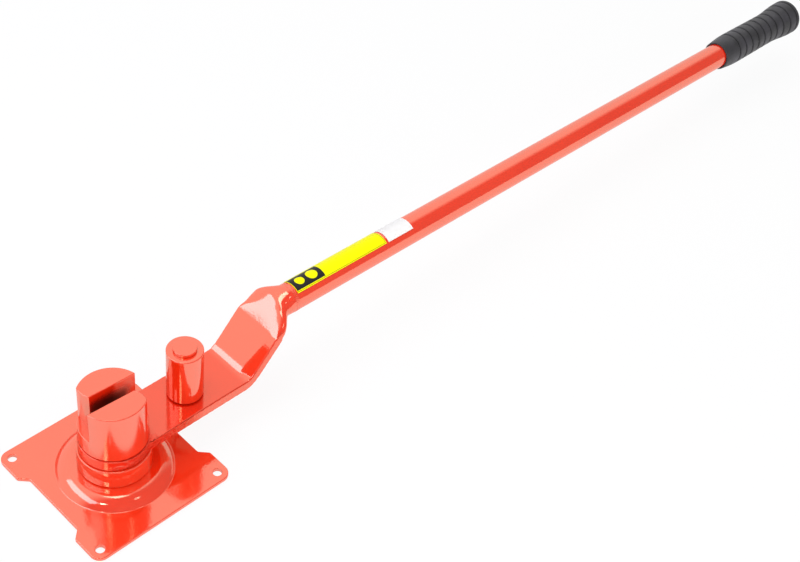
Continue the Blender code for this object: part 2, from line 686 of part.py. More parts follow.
def build():
    red = make_material("red_paint", (0.80, 0.045, 0.012), 0.28, 0.0)
    materials = {name: red.copy() for name in (
        "base_plate", "base_boss", "slotted_head", "crank_arm", "handle_tube", "tube_weld",
        "bending_pin", "pin_roller", "pin_weld", "boss_weld", "shaft_weld", "head_plug_weld")}
    materials["pivot_shaft"] = make_material("bright_steel", (0.56, 0.57, 0.58), 0.3, 1.0)
    materials["arm_bush"] = make_material("bronze", (0.60, 0.42, 0.20), 0.35, 1.0)
    materials["lower_thrust_washer"] = make_material("washer_steel", (0.50, 0.50, 0.51), 0.4, 1.0)
    for name in ("upper_thrust_washer", "roller_washer"):
        materials[name] = materials["lower_thrust_washer"].copy()
    materials["handle_grip"] = make_material("black_rubber", (0.022, 0.022, 0.026), 0.6, 0.0)
    materials["size_label"] = make_material("yellow_label", (0.95, 0.80, 0.01), 0.35, 0.0)
    materials["mark_label"] = make_material("white_label", (0.90, 0.90, 0.89), 0.35, 0.0)
    for name, material in materials.items():
        material.name = name + "_finish"

    arm_pivot = bpy.data.objects.new("arm_pivot", None)
    roller_pivot = bpy.data.objects.new("roller_pivot", None)
    for pivot in (arm_pivot, roller_pivot):
        parts.objects.link(pivot)
    roller_pivot.parent = arm_pivot
    roller_pivot.location.x = PIN_DISTANCE
    bpy.context.view_layer.update()

    fixed = [make_base_plate(), make_base_boss(), make_pivot_shaft(), make_slotted_head(),
             make_head_plug_weld(),
             fillet_weld("boss_weld", spigot_radius, dome_top_z - PLATE_THICKNESS, BOSS_WELD_LEG),
             fillet_weld("shaft_weld", shaft_radius, spigot_bottom_z, SHAFT_WELD_LEG),
             ring("lower_thrust_washer", bore_radius, WASHER_DIAMETER / 2, boss_top_z + CLEARANCE,
                  eye_bottom_z + WASHER_RECESS - CLEARANCE, LARGE_STEPS)]
    for item in fixed:
        dress(item, materials[item.name])

    swinging = [make_crank_arm(), make_handle_tube(), make_tube_weld(), make_handle_grip(),
                ring("arm_bush", bore_radius, bush_radius,
                     eye_bottom_z + WASHER_RECESS + CLEARANCE,
                     eye_top_z - WASHER_RECESS - CLEARANCE, LARGE_STEPS),
                ring("upper_thrust_washer", bore_radius, WASHER_DIAMETER / 2,
                     eye_top_z - WASHER_RECESS + CLEARANCE, head_bottom_z - CLEARANCE,
                     LARGE_STEPS),
                make_label("size_label", tube_bottom + SIZE_LABEL_START, SIZE_LABEL_LENGTH),
                make_label("mark_label",
                           tube_bottom + SIZE_LABEL_START + SIZE_LABEL_LENGTH + LABEL_GAP,
                           MARK_LABEL_LENGTH)]
    for item in swinging:
        dress(item, materials[item.name], arm_pivot)

    pin_pieces = [make_bending_pin(),
                  fillet_weld("pin_weld", pin_radius, arm_bottom_z, PIN_WELD_LEG),
                  ring("roller_washer", pin_radius + CLEARANCE, ROLLER_WASHER_DIAMETER / 2,
                       arm_top_z + CLEARANCE, roller_washer_top_z, SMALL_STEPS)]
    for item in pin_pieces:
        item.location.x = PIN_DISTANCE
        bpy.context.view_layer.update()
        dress(item, materials[item.name], arm_pivot)
    roller = make_pin_roller()
    roller.location.x = PIN_DISTANCE
    bpy.context.view_layer.update()
    dress(roller, materials[roller.name], roller_pivot)


clear_scene()
parts = make_collection("rebar_bender")
cutters = make_collection("cutters")
smoothing = make_smoothing()
build()
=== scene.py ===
"""Rebar bender: the finished surfaces and materials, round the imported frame.

Metres, +Z up. The origin is the centre of the base plate's underside, on the post's axis, and the
lever points along +X. Every piece that shows is a closed surface, worked out as whole arrays of
points. A bore on a turned piece's own axis is part of its profile, and the bolt holes and the arm's
bores are cut with Booleans.
"""
import math

import bmesh
import bpy
import numpy as np
from mathutils import Matrix, Vector


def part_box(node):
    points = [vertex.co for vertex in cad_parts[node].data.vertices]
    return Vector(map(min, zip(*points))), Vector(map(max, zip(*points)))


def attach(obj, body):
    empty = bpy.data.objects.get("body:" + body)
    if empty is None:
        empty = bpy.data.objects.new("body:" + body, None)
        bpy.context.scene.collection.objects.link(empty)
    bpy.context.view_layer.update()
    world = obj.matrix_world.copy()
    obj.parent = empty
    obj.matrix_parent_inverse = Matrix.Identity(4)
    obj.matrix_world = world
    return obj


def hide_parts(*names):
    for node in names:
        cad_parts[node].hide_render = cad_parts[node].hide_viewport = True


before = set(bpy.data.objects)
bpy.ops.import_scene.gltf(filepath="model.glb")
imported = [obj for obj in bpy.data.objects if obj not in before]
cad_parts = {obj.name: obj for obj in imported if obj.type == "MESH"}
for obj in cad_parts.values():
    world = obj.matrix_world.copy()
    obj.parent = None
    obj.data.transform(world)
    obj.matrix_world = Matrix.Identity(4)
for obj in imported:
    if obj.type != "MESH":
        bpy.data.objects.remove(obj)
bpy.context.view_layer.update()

# Sizes that the frame gives: lowest and highest corner of each node
plate_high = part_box("base_plate")[1]
boss_low, boss_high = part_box("base_boss")
head_low, head_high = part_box("slotted_head")
washer_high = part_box("upper_thrust_washer")[1]
bush_low, bush_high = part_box("arm_bush")
shaft_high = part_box("pivot_shaft")[1]
pin_low, pin_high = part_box("bending_pin")
roller_low, roller_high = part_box("pin_roller")

# Sizes of the real tool that the boxes don't show
CLEARANCE = 0.0003
PLATE_THICKNESS = 0.004
PLATE_CORNER_RADIUS = 0.010
PLATE_HOLE_INSET = 0.010
PLATE_HOLE_RADIUS = 0.0042
EAR_LENGTH = 0.032
EDGE_RECESS = 0.008
RECESS_ROUND = EDGE_RECESS / 3
# Radii on the dome's top face from its crown out to its foot, and the sheet's tilt at each
DOME_RADII = (0.0395, 0.0435, 0.0468, 0.0498, 0.0516, 0.0530, 0.0542)
DOME_TILTS = tuple(math.radians(tilt) for tilt in (0, 22, 30, 41, 50, 50, 0))
SPIGOT_RADIUS = 0.026
BORE_RADIUS = 0.0183
SLOT_HALF_WIDTH = 0.0077
SLOT_DEPTH = 0.036
SLOT_TURN = math.radians(-3)
NOSE_REACH = 0.021            # from the post's axis to the cut-back end of each half
NOSE_RADIUS = 0.0185
NOSE_OFFSET = 0.0186
OPEN_EDGE_FADE = math.radians(3)     # along which the foot's upper edge loses its rounding
PLUG_HOLE_RADIUS = 0.006
PLUG_DISH = 0.0004
PLUG_RIPPLE = 0.00012
PLUG_RIPPLE_TURN = 16         # radians of the ripples' wave, from the pool's middle to its edge
BEAD_PITCH = 0.0022           # from ripple to ripple in the ring welds
BEAD_BULGE_SHARE = 0.16       # of a leg, by which the bead's face swells
BEAD_RIPPLE_SHARE = 0.10      # of a leg, by which a ripple shrinks it
ARM_WIDTH = 0.055
ARM_THICKNESS = 0.011
EYE_RADIUS = 0.032
WASHER_RECESS = 0.0016
CRANK_START = 0.1368
CRANK_RISE = 0.0412
CRANK_ANGLE = math.radians(48.5)
LOWER_BEND_RADIUS = 0.021
CREASE_SHARE = 0.35           # of the lower bend's length, in which it takes most of its turn
CREASE_ANGLE = math.radians(33)
UPPER_BEND_RADIUS = 0.0155
NECK_TAPER = 0.018
NECK_NEAR_DELAY = 0.001
NECK_FAR_DELAY = 0.0117
# Shares of the way from the upper bend's start to the tube, and the top's tilt at the inner four
NECK_TOP_SHARES = (0.0, 0.05, 0.50, 0.57, 0.80, 1.0)
NECK_TOP_TILTS = tuple(math.radians(tilt) for tilt in (43, 36, 24, 14))
NECK_ROUNDING = 0.003         # the section is an ellipse this far past the upper bend
CORNER_SPREAD = math.radians(12)
ROLL_SLOPE = 0.14
ROLL_LOW_WIDTH = 0.019
ROLL_HIGH_WIDTH = 0.010
ROLL_START_SHARE = 0.22
ROLL_EASE_SHARE = 0.4
FURROW_DEPTH = 0.00011
SPIGOT_LENGTH = 0.028
TUBE_RADIUS = 0.0145
TUBE_WALL = 0.0025
TUBE_LENGTH = 0.854
TUBE_DROP = math.radians(1.45)
TUBE_WELD_DEPTH = 0.0021
TUBE_WELD_CROWN = 0.0004
TUBE_WELD_RIPPLES = 46
TUBE_WELD_WANDER = 0.00025
PIN_DISTANCE = 0.080
PIN_RADIUS = 0.0095
PIN_HEAD_HEIGHT = 0.003
GRIP_LENGTH = 0.159
GRIP_END_WALL = 0.005
GRIP_MOUTH_RADIUS = 0.01675
GRIP_BODY_RADIUS = 0.019
GRIP_WAIST_RADIUS = 0.0185
GRIP_FLARE_RADIUS = 0.0215
GRIP_SWELL_SHARE = 0.18
GRIP_WAIST_SHARE = 0.66
GRIP_FLARE_SHARE = 0.93
GRIP_GROOVES = 10
GRIP_FIRST_GROOVE = 0.0255
GRIP_GROOVE_PITCH = 0.0137
GRIP_GROOVE_DEPTH = 0.0012
GRIP_GROOVE_WIDTH = 0.0024
GRIP_END_ROUND = 0.009
GRIP_END_TURN = math.radians(30)     # of the end's round, where it starts
GRIP_END_SHARE = 0.6          # of the end's round, at which the grip's side stops
GRIP_MOUTH_LIP = 0.0006
LABEL_THICKNESS = 0.0002
LABEL_ARC = math.radians(92)
LABEL_TURN = math.radians(6)
LABEL_INSET = 0.0011          # of the thin frame line from the label's edge
LABEL_LINE = 0.00035
PRINT_BLUR = 0.0002           # over which a printed edge goes from one colour to the other
SIZE_LABEL_START = 0.0031
SIZE_LABEL_LENGTH = 0.117
BLOCK_ENDS = (0.0005, 0.0365)
BLOCK_TURNS = (math.radians(-32), math.radians(37))
BAR_DIAMETERS = (0.010, 0.012)    # of the two bars, printed as discs in the label's dark block
DISC_SHARES = (0.27, 0.69)
MARK_LABEL_START = 0.1231
MARK_LABEL_LENGTH = 0.034

# Edge roundings
PLATE_EDGE = 0.0009
HOLE_EDGE = 0.0005
BOSS_EDGE = 0.0009
HEAD_EDGE = 0.0010
FOOT_EDGE = 0.7 * HEAD_EDGE
ARM_EDGE = 0.0016
EYE_EDGE = 0.0008
ROLLER_EDGE = 0.0010
PIN_EDGE = 0.0006
TUBE_EDGE = 0.0006
BORE_EDGE = 0.0004

# Mesh fineness
ROUND_STEPS = 160
SLIM_STEPS = 128
GRIP_STEPS = 96
HOLE_STEPS = 64
PLATE_STEPS = 720
PLATE_ARC_STEPS = 12
DOME_STEPS = 40
BORDER_SHARES = (0.15, 0.5, 0.85)    # where rings lie between the dome's foot and the plate's edge
HEAD_STEPS = 360
PLUG_ROWS = 14
BEAD_STEPS = 360
BEAD_ROWS = 12
NECK_BEAD_STEPS = 480
NECK_BEAD_ROWS = 13
EDGE_STEPS = 5
CORNER_POINTS = 7             # of the arm's section: at each corner, and along its wide faces and sides
FACE_POINTS = 44
SIDE_POINTS = 14
STATIONS = 1601               # along the arm, of which one in STATION_SKIP becomes a row of points
STATION_SKIP = 5
GRIP_ROWS = 620
GRIP_END_ROWS = 14
LABEL_ROWS = 60
LABEL_COLUMNS = 48
MERGE_DISTANCE = 0.0000005
SHARP_ANGLE = math.radians(50)

# Where the pieces meet, worked out from the sizes above
quarter_turn = np.linspace(0, math.pi / 2, EDGE_STEPS + 1)
plate_half = plate_high.x
slot_floor_z = head_high.z - SLOT_DEPTH
eye_low_z = bush_low.z - CLEARANCE - WASHER_RECESS
eye_high_z = bush_high.z + CLEARANCE + WASHER_RECESS
arm_middle_z = (eye_low_z + eye_high_z) / 2
dome_z = plate_high.z
crank_end_x = CRANK_START + CRANK_RISE / math.tan(CRANK_ANGLE)
crank_end_z = arm_middle_z + CRANK_RISE
neck_length = NECK_FAR_DELAY + NECK_TAPER
neck_end_x = crank_end_x + neck_length * math.cos(TUBE_DROP)
neck_end_z = crank_end_z - neck_length * math.sin(TUBE_DROP)
tube_lift = TUBE_RADIUS - ARM_THICKNESS / 2
tube_start = np.array((neck_end_x + tube_lift * math.sin(TUBE_DROP), 0,
                       neck_end_z + tube_lift * math.cos(TUBE_DROP)))
tube_along = np.array((math.cos(TUBE_DROP), 0, -math.sin(TUBE_DROP)))
tube_up = np.array((math.sin(TUBE_DROP), 0, math.cos(TUBE_DROP)))
tube_bottom = CLEARANCE
tube_top = tube_bottom + TUBE_LENGTH
grip_top = tube_top + CLEARANCE + GRIP_END_WALL
grip_bottom = grip_top - GRIP_LENGTH
label_radius = TUBE_RADIUS + CLEARANCE + LABEL_THICKNESS


# Surfaces as arrays of points

def skin(points, loop_rows=False):
    """Four-sided faces between neighbouring rows and columns of points, the last column to the first."""
    rows, columns = points.shape[:2]
    index = np.arange(rows * columns).reshape(rows, columns)
    if loop_rows:
        index = np.vstack([index, index[:1]])
    index = np.hstack([index, index[:, :1]])
    faces = np.stack([index[:-1, :-1], index[:-1, 1:], index[1:, 1:], index[1:, :-1]], axis=-1)
    return points.reshape(-1, 3), faces.reshape(-1, 4)


def rounded(corners, steps=EDGE_STEPS, closed=True):
    """An outline of (x, y, radius) corners, each replaced by an arc that touches both its sides.

    The arc's centre lies on the line that halves the corner, at radius / sin(half the corner's
    angle), and its points turn evenly from the one side's normal to the other's.
    """
    corners = np.asarray(corners, float)
    points, radius = corners[:, :2], corners[:, 2:]
    before = np.roll(points, 1, axis=0) - points
    after = np.roll(points, -1, axis=0) - points
    before /= np.linalg.norm(before, axis=1, keepdims=True)
    after /= np.linalg.norm(after, axis=1, keepdims=True)
    middle = before + after
    middle /= np.linalg.norm(middle, axis=1, keepdims=True)
    half = np.arccos(np.clip((before * after).sum(axis=1, keepdims=True), -1, 1)) / 2
    centre = points + middle * radius / np.sin(half)
    start = (before * np.cos(half) - middle) / np.sin(half)
    end = (after * np.cos(half) - middle) / np.sin(half)
    turn = math.pi - 2 * half
    share = np.linspace(0, 1, steps + 1)
    spread = (np.sin((1 - share) * turn)[:, :, None] * start[:, None]
              + np.sin(share * turn)[:, :, None] * end[:, None]) / np.sin(turn)[:, :, None]
    outline = centre[:, None] + radius[:, None] * spread
    if not closed:
        return np.concatenate([points[:1], outline[1:-1].reshape(-1, 2), points[-1:]])
    return outline.reshape(-1, 2)


def full_turn(steps):
    """Evenly spaced angles round a circle."""
    return np.arange(steps) * math.tau / steps


def circle(radius, height, angle):
    """Points round Z: the radius times the angle's cosine and sine, and the height."""
    return np.stack(np.broadcast_arrays(radius * np.cos(angle), radius * np.sin(angle), height), axis=-1)


def level(outline, height):
    """Flat (x, y) points at a height."""
    return np.column_stack([outline, np.full(len(outline), height)])


def turned(profile, steps=ROUND_STEPS, closed=True):
    """Carries a profile of (radius, height) points round Z."""
    return skin(circle(profile[:, :1], profile[:, 1:], full_turn(steps)), loop_rows=closed)


def drum(radius, low, high):
    """A plain round cutter: a rectangle carried round Z."""
    return turned(np.array([(0, high), (radius, high), (radius, low), (0, low)]), closed=False)


def on_tube(shell):
    """Lays a shape that stands on Z along the lever's tube, its -X side upwards."""
    points, faces = shell
    placed = (tube_start - points[:, :1] * tube_up + points[:, 1:2] * np.array((0, 1, 0))
              + points[:, 2:] * tube_along)
    return placed, faces


def moved(shell, x, y=0.0):
    """Adds a distance along X and Y to every point."""
    points, faces = shell
    return points + np.array((x, y, 0.0)), faces


def ease(share):
    """Goes from 0 to 1 with a level start and end."""
    share = np.clip(share, 0, 1)
    return share * share * (3 - 2 * share)


def noise(seed, *where):
    """Smooth noise of about -1 to 1: a sum of eight sine waves of unlike directions and lengths."""
    draw = np.random.default_rng(seed)
    total = 0
    for octave in range(8):
        pitch = 1 + 0.37 * octave
        phase = draw.uniform(0, math.tau)
        weights = draw.normal(size=len(where))
        weights /= np.linalg.norm(weights)
        total = total + np.sin(sum(w * pitch * v for w, v in zip(weights, where)) + phase) / 3
    return total


def make_mesh(name, shells, values=None):
    """One mesh from closed shells, with its seams and poles merged and its faces outwards."""
    starts = np.cumsum([0] + [len(points) for points, faces in shells])
    points = np.concatenate([points for points, faces in shells])
    faces = np.concatenate([faces + start for (_, faces), start in zip(shells, starts)])
    mesh = bpy.data.meshes.new(name)
    mesh.from_pydata(points.tolist(), [], faces.tolist())
    for key, value in (values or {}).items():
        mesh.attributes.new(key, "FLOAT", "POINT").data.foreach_set("value", value.ravel())
    shape = bmesh.new()
    shape.from_mesh(mesh)
    bmesh.ops.remove_doubles(shape, verts=shape.verts, dist=MERGE_DISTANCE)
    bmesh.ops.recalc_face_normals(shape, faces=shape.faces)
    shape.to_mesh(mesh)
    shape.free()
    return mesh


def make_piece(name, mesh, body, nodes, finish):
    """Shades a mesh, gives it its material and puts it in the place of the nodes it stands for."""
    mesh.shade_smooth()
    mesh.set_sharp_from_angle(angle=SHARP_ANGLE)
    item = bpy.data.objects.new(name, mesh)
    bpy.context.scene.collection.objects.link(item)
    item.data.materials.append(finish)
    even = item.modifiers.new("even_shading", "WEIGHTED_NORMAL")
    even.keep_sharp = True
    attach(item, body)
    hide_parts(*nodes)


def cut(mesh, tools, operation="DIFFERENCE"):
    """Cuts meshes out of a mesh, or joins them to it, and returns the new mesh."""
    item = bpy.data.objects.new("blank", mesh)
    bpy.context.scene.collection.objects.link(item)
    extras = []
    for tool in tools:
        other = bpy.data.objects.new("tool", tool)
        bpy.context.scene.collection.objects.link(other)
        modifier = item.modifiers.new("cut", "BOOLEAN")
        modifier.operation = operation
        modifier.solver = "EXACT"
        modifier.object = other
        extras.append(other)
    bpy.context.view_layer.update()
    evaluated = item.evaluated_get(bpy.context.evaluated_depsgraph_get())
    result = bpy.data.meshes.new_from_object(evaluated)
    for other in (item, *extras):
        bpy.data.objects.remove(other, do_unlink=True)
    return result


# Base plate

def plate_outline():
    """Evenly spaced points along the plate's edge, and the outward normal at each.

    One quarter's rounded corners are mirrored to a half, and the half is turned to the whole.
    """
    ear_end = plate_half - EAR_LENGTH
    step_end = ear_end - EDGE_RECESS
    recess = plate_half - EDGE_RECESS
    quarter = np.array([(recess, step_end, RECESS_ROUND), (plate_half, ear_end, RECESS_ROUND),
                        (plate_half, plate_half, PLATE_CORNER_RADIUS)])
    flip_x = quarter[::-1] * (-1, 1, 1)
    half = np.concatenate([quarter, flip_x])
    corners = np.concatenate([half, half * (-1, -1, 1)])
    outline = rounded(corners, PLATE_ARC_STEPS)
    outline = np.concatenate([outline, outline[:1]])
    along = np.concatenate([[0], np.cumsum(np.linalg.norm(np.diff(outline, axis=0), axis=1))])
    even = np.linspace(0, along[-1], PLATE_STEPS, endpoint=False)
    points = np.stack([np.interp(even, along, outline[:, axis]) for axis in (0, 1)], axis=-1)
    run = np.roll(points, -1, axis=0) - np.roll(points, 1, axis=0)
    run /= np.linalg.norm(run, axis=1, keepdims=True)
    return points, np.stack([run[:, 1], -run[:, 0]], axis=-1)


def dome_profile():
    """Radius, height and slope of the sheet's top face, from the boss's hole to the dome's foot.

    The sheet's tilt changes evenly from one named radius to the next, and its height is the running
    sum of its slope, scaled so that the whole fall is the dome's rise.
    """
    start = SPIGOT_RADIUS + CLEARANCE
    radius = np.concatenate([np.linspace(start, DOME_RADII[0], 4)[:-1],
                             np.linspace(DOME_RADII[0], DOME_RADII[-1], DOME_STEPS)])
    slope = -np.tan(np.interp(radius, DOME_RADII, DOME_TILTS))
    fall = np.concatenate([[0], np.cumsum((slope[1:] + slope[:-1]) / 2 * np.diff(radius))])
    share = (dome_z - PLATE_THICKNESS) / -fall[-1]
    return radius, dome_z + share * fall, share * slope


def bolt_hole():
    """The cutter of a bolt hole: a drum that widens by a quarter round at both faces of the sheet."""
    low, high = -PLATE_THICKNESS, 2 * PLATE_THICKNESS
    flare = PLATE_HOLE_RADIUS + HOLE_EDGE * (1 - np.cos(quarter_turn))
    rise = HOLE_EDGE * (1 - np.sin(quarter_turn))
    profile = np.concatenate([[(0, high), (flare[-1], high)],
                              np.column_stack([flare, PLATE_THICKNESS - rise])[::-1],
                              np.column_stack([flare, rise]), [(flare[-1], low), (0, low)]])
    return turned(profile, HOLE_STEPS, closed=False)


def make_base_plate():
    """Rings run out from the boss's hole over the dome to the plate's edge, round it and back below.

    Between the dome's foot and the edge, a point is the mean of its place on the circle and its
    place on the outline, weighted by the ring's share of the way.
    """
    outline, normal = plate_outline()
    spoke = outline / np.linalg.norm(outline, axis=1, keepdims=True)
    radius, height, slope = dome_profile()
    tilt = np.hypot(1, slope)
    below_radius = radius + PLATE_THICKNESS * slope / tilt
    below_height = height - PLATE_THICKNESS / tilt
    below_radius[0] = radius[0]
    foot, brink = spoke * radius[-1], outline - normal * PLATE_EDGE

    def border(share, z):
        return level(foot + (brink - foot) * share, z)

    def edge(angle, z):
        return level(outline - normal * PLATE_EDGE * (1 - math.sin(angle)), z)

    rings = [level(spoke * r, z) for r, z in zip(radius, height)]
    rings += [border(share, PLATE_THICKNESS) for share in BORDER_SHARES]
    rings += [edge(a, PLATE_THICKNESS - PLATE_EDGE * (1 - math.cos(a))) for a in quarter_turn]
    rings += [edge(a, PLATE_EDGE * (1 - math.cos(a))) for a in quarter_turn[::-1]]
    rings += [border(share, 0.0) for share in BORDER_SHARES[::-1]]
    rings += [level(spoke * r, z) for r, z in zip(below_radius[::-1], below_height[::-1])]
    sheet = make_mesh("base_plate_skin", [skin(np.array(rings), True)])
    place = plate_half - PLATE_HOLE_INSET
    tools = [make_mesh("hole", [moved(bolt_hole(), x * place, y * place)])
             for x in (-1, 1) for y in (-1, 1)]
    make_piece("plate_sheet", cut(sheet, tools), "base", ["base_plate"], plate_paint)


def make_base_boss():
    """A ring with a spigot below it: its rounded profile carried round Z."""
    profile = rounded([(BORE_RADIUS, boss_high.z, BOSS_EDGE / 2),
                       (boss_high.x, boss_high.z, BOSS_EDGE),
                       (boss_high.x, dome_z + CLEARANCE, 2 * BOSS_EDGE),
                       (SPIGOT_RADIUS, dome_z + CLEARANCE, 0),
                       (SPIGOT_RADIUS, boss_low.z, BOSS_EDGE / 2),
                       (BORE_RADIUS, boss_low.z, BOSS_EDGE / 2)])
    mesh = make_mesh("boss_ring", [turned(profile)])
    make_piece("boss_ring", mesh, "base", ["base_boss"], turned_paint)


# Slotted head

def with_slot(points):
    """Turns points about the post's axis, from the slot's own direction to where the slot lies."""
    turn = np.array(((math.cos(SLOT_TURN), math.sin(SLOT_TURN), 0),
                     (-math.sin(SLOT_TURN), math.cos(SLOT_TURN), 0), (0, 0, 1)))
    return points @ turn


def head_half(side):
    """One half of the head above the slot's floor, rounded at all its upright and upper edges.

    The outline is the path of a small disc rolled round a slightly smaller convex outline: the
    point whose normal has angle a is the smaller outline's furthest point that way, plus the
    disc's radius along the normal.
    """
    radius = head_high.x - HEAD_EDGE
    nose = NOSE_RADIUS - HEAD_EDGE
    wall = SLOT_HALF_WIDTH + HEAD_EDGE
    centre = np.array((NOSE_RADIUS - NOSE_REACH, NOSE_OFFSET))
    spread = np.linspace(0, math.pi, HEAD_STEPS // 2 + 1)
    arc = radius * np.column_stack([np.cos(spread), np.sin(spread)])
    beside = (arc[:, 0] > centre[0]) | (np.hypot(*(arc - centre).T) < nose)
    arc = arc[(arc[:, 1] > wall) & beside]
    around = np.linspace(math.pi / 2, math.pi * 3 / 2, HEAD_STEPS // 4 + 1)
    bow = centre + nose * np.column_stack([np.cos(around), np.sin(around)])
    bow = bow[(bow[:, 1] > wall) & (np.hypot(*bow.T) < radius)]
    end_x = math.sqrt(radius ** 2 - wall ** 2)
    bow_x = centre[0] - math.sqrt(nose ** 2 - (NOSE_OFFSET - wall) ** 2)
    inner = np.concatenate([arc, bow, [(end_x, wall), (bow_x, wall)]])
    angle = np.linspace(0, math.tau, HEAD_STEPS, endpoint=False)
    normal = np.column_stack([np.cos(angle), np.sin(angle)])
    rolled = inner[np.argmax(normal @ inner.T, axis=1)]
    pole = np.broadcast_to(rolled.mean(axis=0), rolled.shape)
    upper = [level(rolled + HEAD_EDGE * math.cos(a) * normal,
                   head_high.z - HEAD_EDGE * (1 - math.sin(a))) for a in quarter_turn]
    rings = [level(pole, slot_floor_z), level(rolled + HEAD_EDGE * normal, slot_floor_z), *upper,
             level(pole, head_high.z)]
    points, faces = skin(np.array(rings))
    return with_slot(points * (side, side, 1)), faces


def head_foot():
    """The full round below the slot's floor; its upper edge is rounded only where the slot is open.

    The rim's open stretch runs from where the nose's circle meets the head's, by the law of
    cosines, to the slot's wall, and again half a turn on.
    """
    angle = full_turn(HEAD_STEPS)
    span = math.hypot(NOSE_OFFSET, NOSE_REACH - NOSE_RADIUS)
    meeting = math.acos((head_high.x ** 2 + span ** 2 - NOSE_RADIUS ** 2) / (2 * head_high.x * span))
    opening_start = math.atan2(NOSE_OFFSET, NOSE_RADIUS - NOSE_REACH) + meeting
    opening_end = math.pi + math.asin(SLOT_HALF_WIDTH / head_high.x)
    inside = np.mod(angle - opening_start, math.pi)
    width = opening_end - opening_start
    edge = FOOT_EDGE * ease(inside / OPEN_EDGE_FADE) * ease((width - inside) / OPEN_EDGE_FADE)
    radius = head_high.x
    foot = rounded([(radius, head_low.z, FOOT_EDGE), (BORE_RADIUS, head_low.z, 0),
                    (BORE_RADIUS, shaft_high.z + CLEARANCE, 0),
                    (PLUG_HOLE_RADIUS, shaft_high.z + CLEARANCE, 0),
                    (PLUG_HOLE_RADIUS, slot_floor_z, 0), (radius, slot_floor_z, 0)])
    foot = foot[:-(EDGE_STEPS + 1)]
    rows = [circle(r, z, angle) for r, z in foot]
    rows += [circle(radius - edge * (1 - math.cos(a)), slot_floor_z - edge * (1 - math.sin(a)), angle)
             for a in quarter_turn[::-1]]
    return skin(with_slot(np.array(rows)), loop_rows=True)


def make_slotted_head():
    """Two halves, the second one turned by half a circle, on one round foot."""
    mesh = make_mesh("post_head", [head_half(1), head_half(-1), head_foot()])
    make_piece("post_head", mesh, "base", ["slotted_head"], head_paint)


def make_plug_weld():
    """A shallow round pool of weld, whose top falls with the cube of the radius and with its ripples.

    The ripples are a cosine wave of the radius that fades towards the pool's edge.
    """
    low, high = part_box("head_plug_weld")
    radius = np.linspace(0, 1, PLUG_ROWS)
    ripple = (1 + np.cos(radius * PLUG_RIPPLE_TURN)) * (1 - radius)
    dish = high.z - PLUG_DISH * radius ** 3 - PLUG_RIPPLE * ripple
    profile = np.concatenate([np.column_stack([radius * high.x, dish]),
                              [(high.x, low.z), (0, low.z)]])
    mesh = make_mesh("plug_weld_pool", [turned(profile, HOLE_STEPS, closed=False)])
    make_piece("plug_weld_pool", mesh, "base", ["head_plug_weld"], weld_paint)


def fillet_bead(low, high, inner):
    """A ring of weld in a corner below a flat face, its face bulged and rippled all the way round.

    Its face runs straight from leg to leg plus half a sine wave, and both legs shrink a little
    with a cosine wave of the angle.
    """
    angle = full_turn(BEAD_STEPS)
    outer = (high.x - low.x) / 2
    leg = outer - inner
    ripples = round(math.tau * outer / BEAD_PITCH)
    wave = 0.5 + 0.5 * np.cos(ripples * angle + 0.6 * np.sin(5 * angle))
    scallop = 1 - BEAD_RIPPLE_SHARE * wave + 0.03 * noise(4, 9 * np.cos(angle), 9 * np.sin(angle))
    share = np.linspace(0, 1, BEAD_ROWS)[:, None]
    bulge = BEAD_BULGE_SHARE * np.sin(math.pi * share)
    radius = np.minimum(inner + leg * ((1 - share) + bulge) * scallop, outer)
    height = np.maximum(high.z - (high.z - low.z) * (share + bulge) * scallop, low.z)
    ring = circle(radius, height, angle)
    corner = circle(inner, high.z, angle)[None]
    return moved(skin(np.concatenate([corner, ring]), loop_rows=True), (low.x + high.x) / 2)


def make_hidden_welds():
    """The ring welds below the dome and the arm, each inside its own node's box."""
    for name, body, node, inner in (
            ("boss_weld_bead", "base", "boss_weld", SPIGOT_RADIUS + CLEARANCE),
            ("shaft_weld_bead", "base", "shaft_weld", BORE_RADIUS),
            ("pin_weld_bead", "lever", "pin_weld", PIN_RADIUS + CLEARANCE)):
        low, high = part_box(node)
        mesh = make_mesh(name, [fillet_bead(low, high, inner)])
        make_piece(name, mesh, body, [node], weld_paint)


# Lever

def section_columns():
    """Round a bar's section: each point's corner, its angle there, its side and its round angle.

    The round angle is where the point lies once the section is an ellipse. The points along the
    wide faces crowd towards their ends, where the near edge is rolled.
    """
    across, up, angle, side, round_angle = [], [], [], [], []
    signs = ((1, 1), (-1, 1), (-1, -1), (1, -1))
    for corner, (sign_y, sign_z) in enumerate(signs):
        turn = (corner + np.linspace(0, 1, CORNER_POINTS)) * math.pi / 2
        across.append(np.full(CORNER_POINTS, sign_y))
        up.append(np.full(CORNER_POINTS, sign_z))
        angle.append(turn)
        side.append(np.abs(np.cos(turn)))
        quarter = corner * math.pi / 2 + math.pi / 4
        round_angle.append(quarter + np.linspace(-1, 1, CORNER_POINTS) * CORNER_SPREAD)
        next_y, next_z = signs[(corner + 1) % 4]
        count = SIDE_POINTS if corner % 2 else FACE_POINTS
        share = np.linspace(0, 1, count + 2)[1:-1]
        crowded = (1 - np.cos(math.pi * share)) / 2
        across.append(sign_y + (next_y - sign_y) * crowded)
        up.append(sign_z + (next_z - sign_z) * share)
        angle.append(np.full(count, (corner + 1) * math.pi / 2))
        side.append(np.full(count, float(corner % 2)))
        round_angle.append(quarter + CORNER_SPREAD + share * (math.pi / 2 - 2 * CORNER_SPREAD))
    return [np.concatenate(part) for part in (across, up, angle, side, round_angle)]


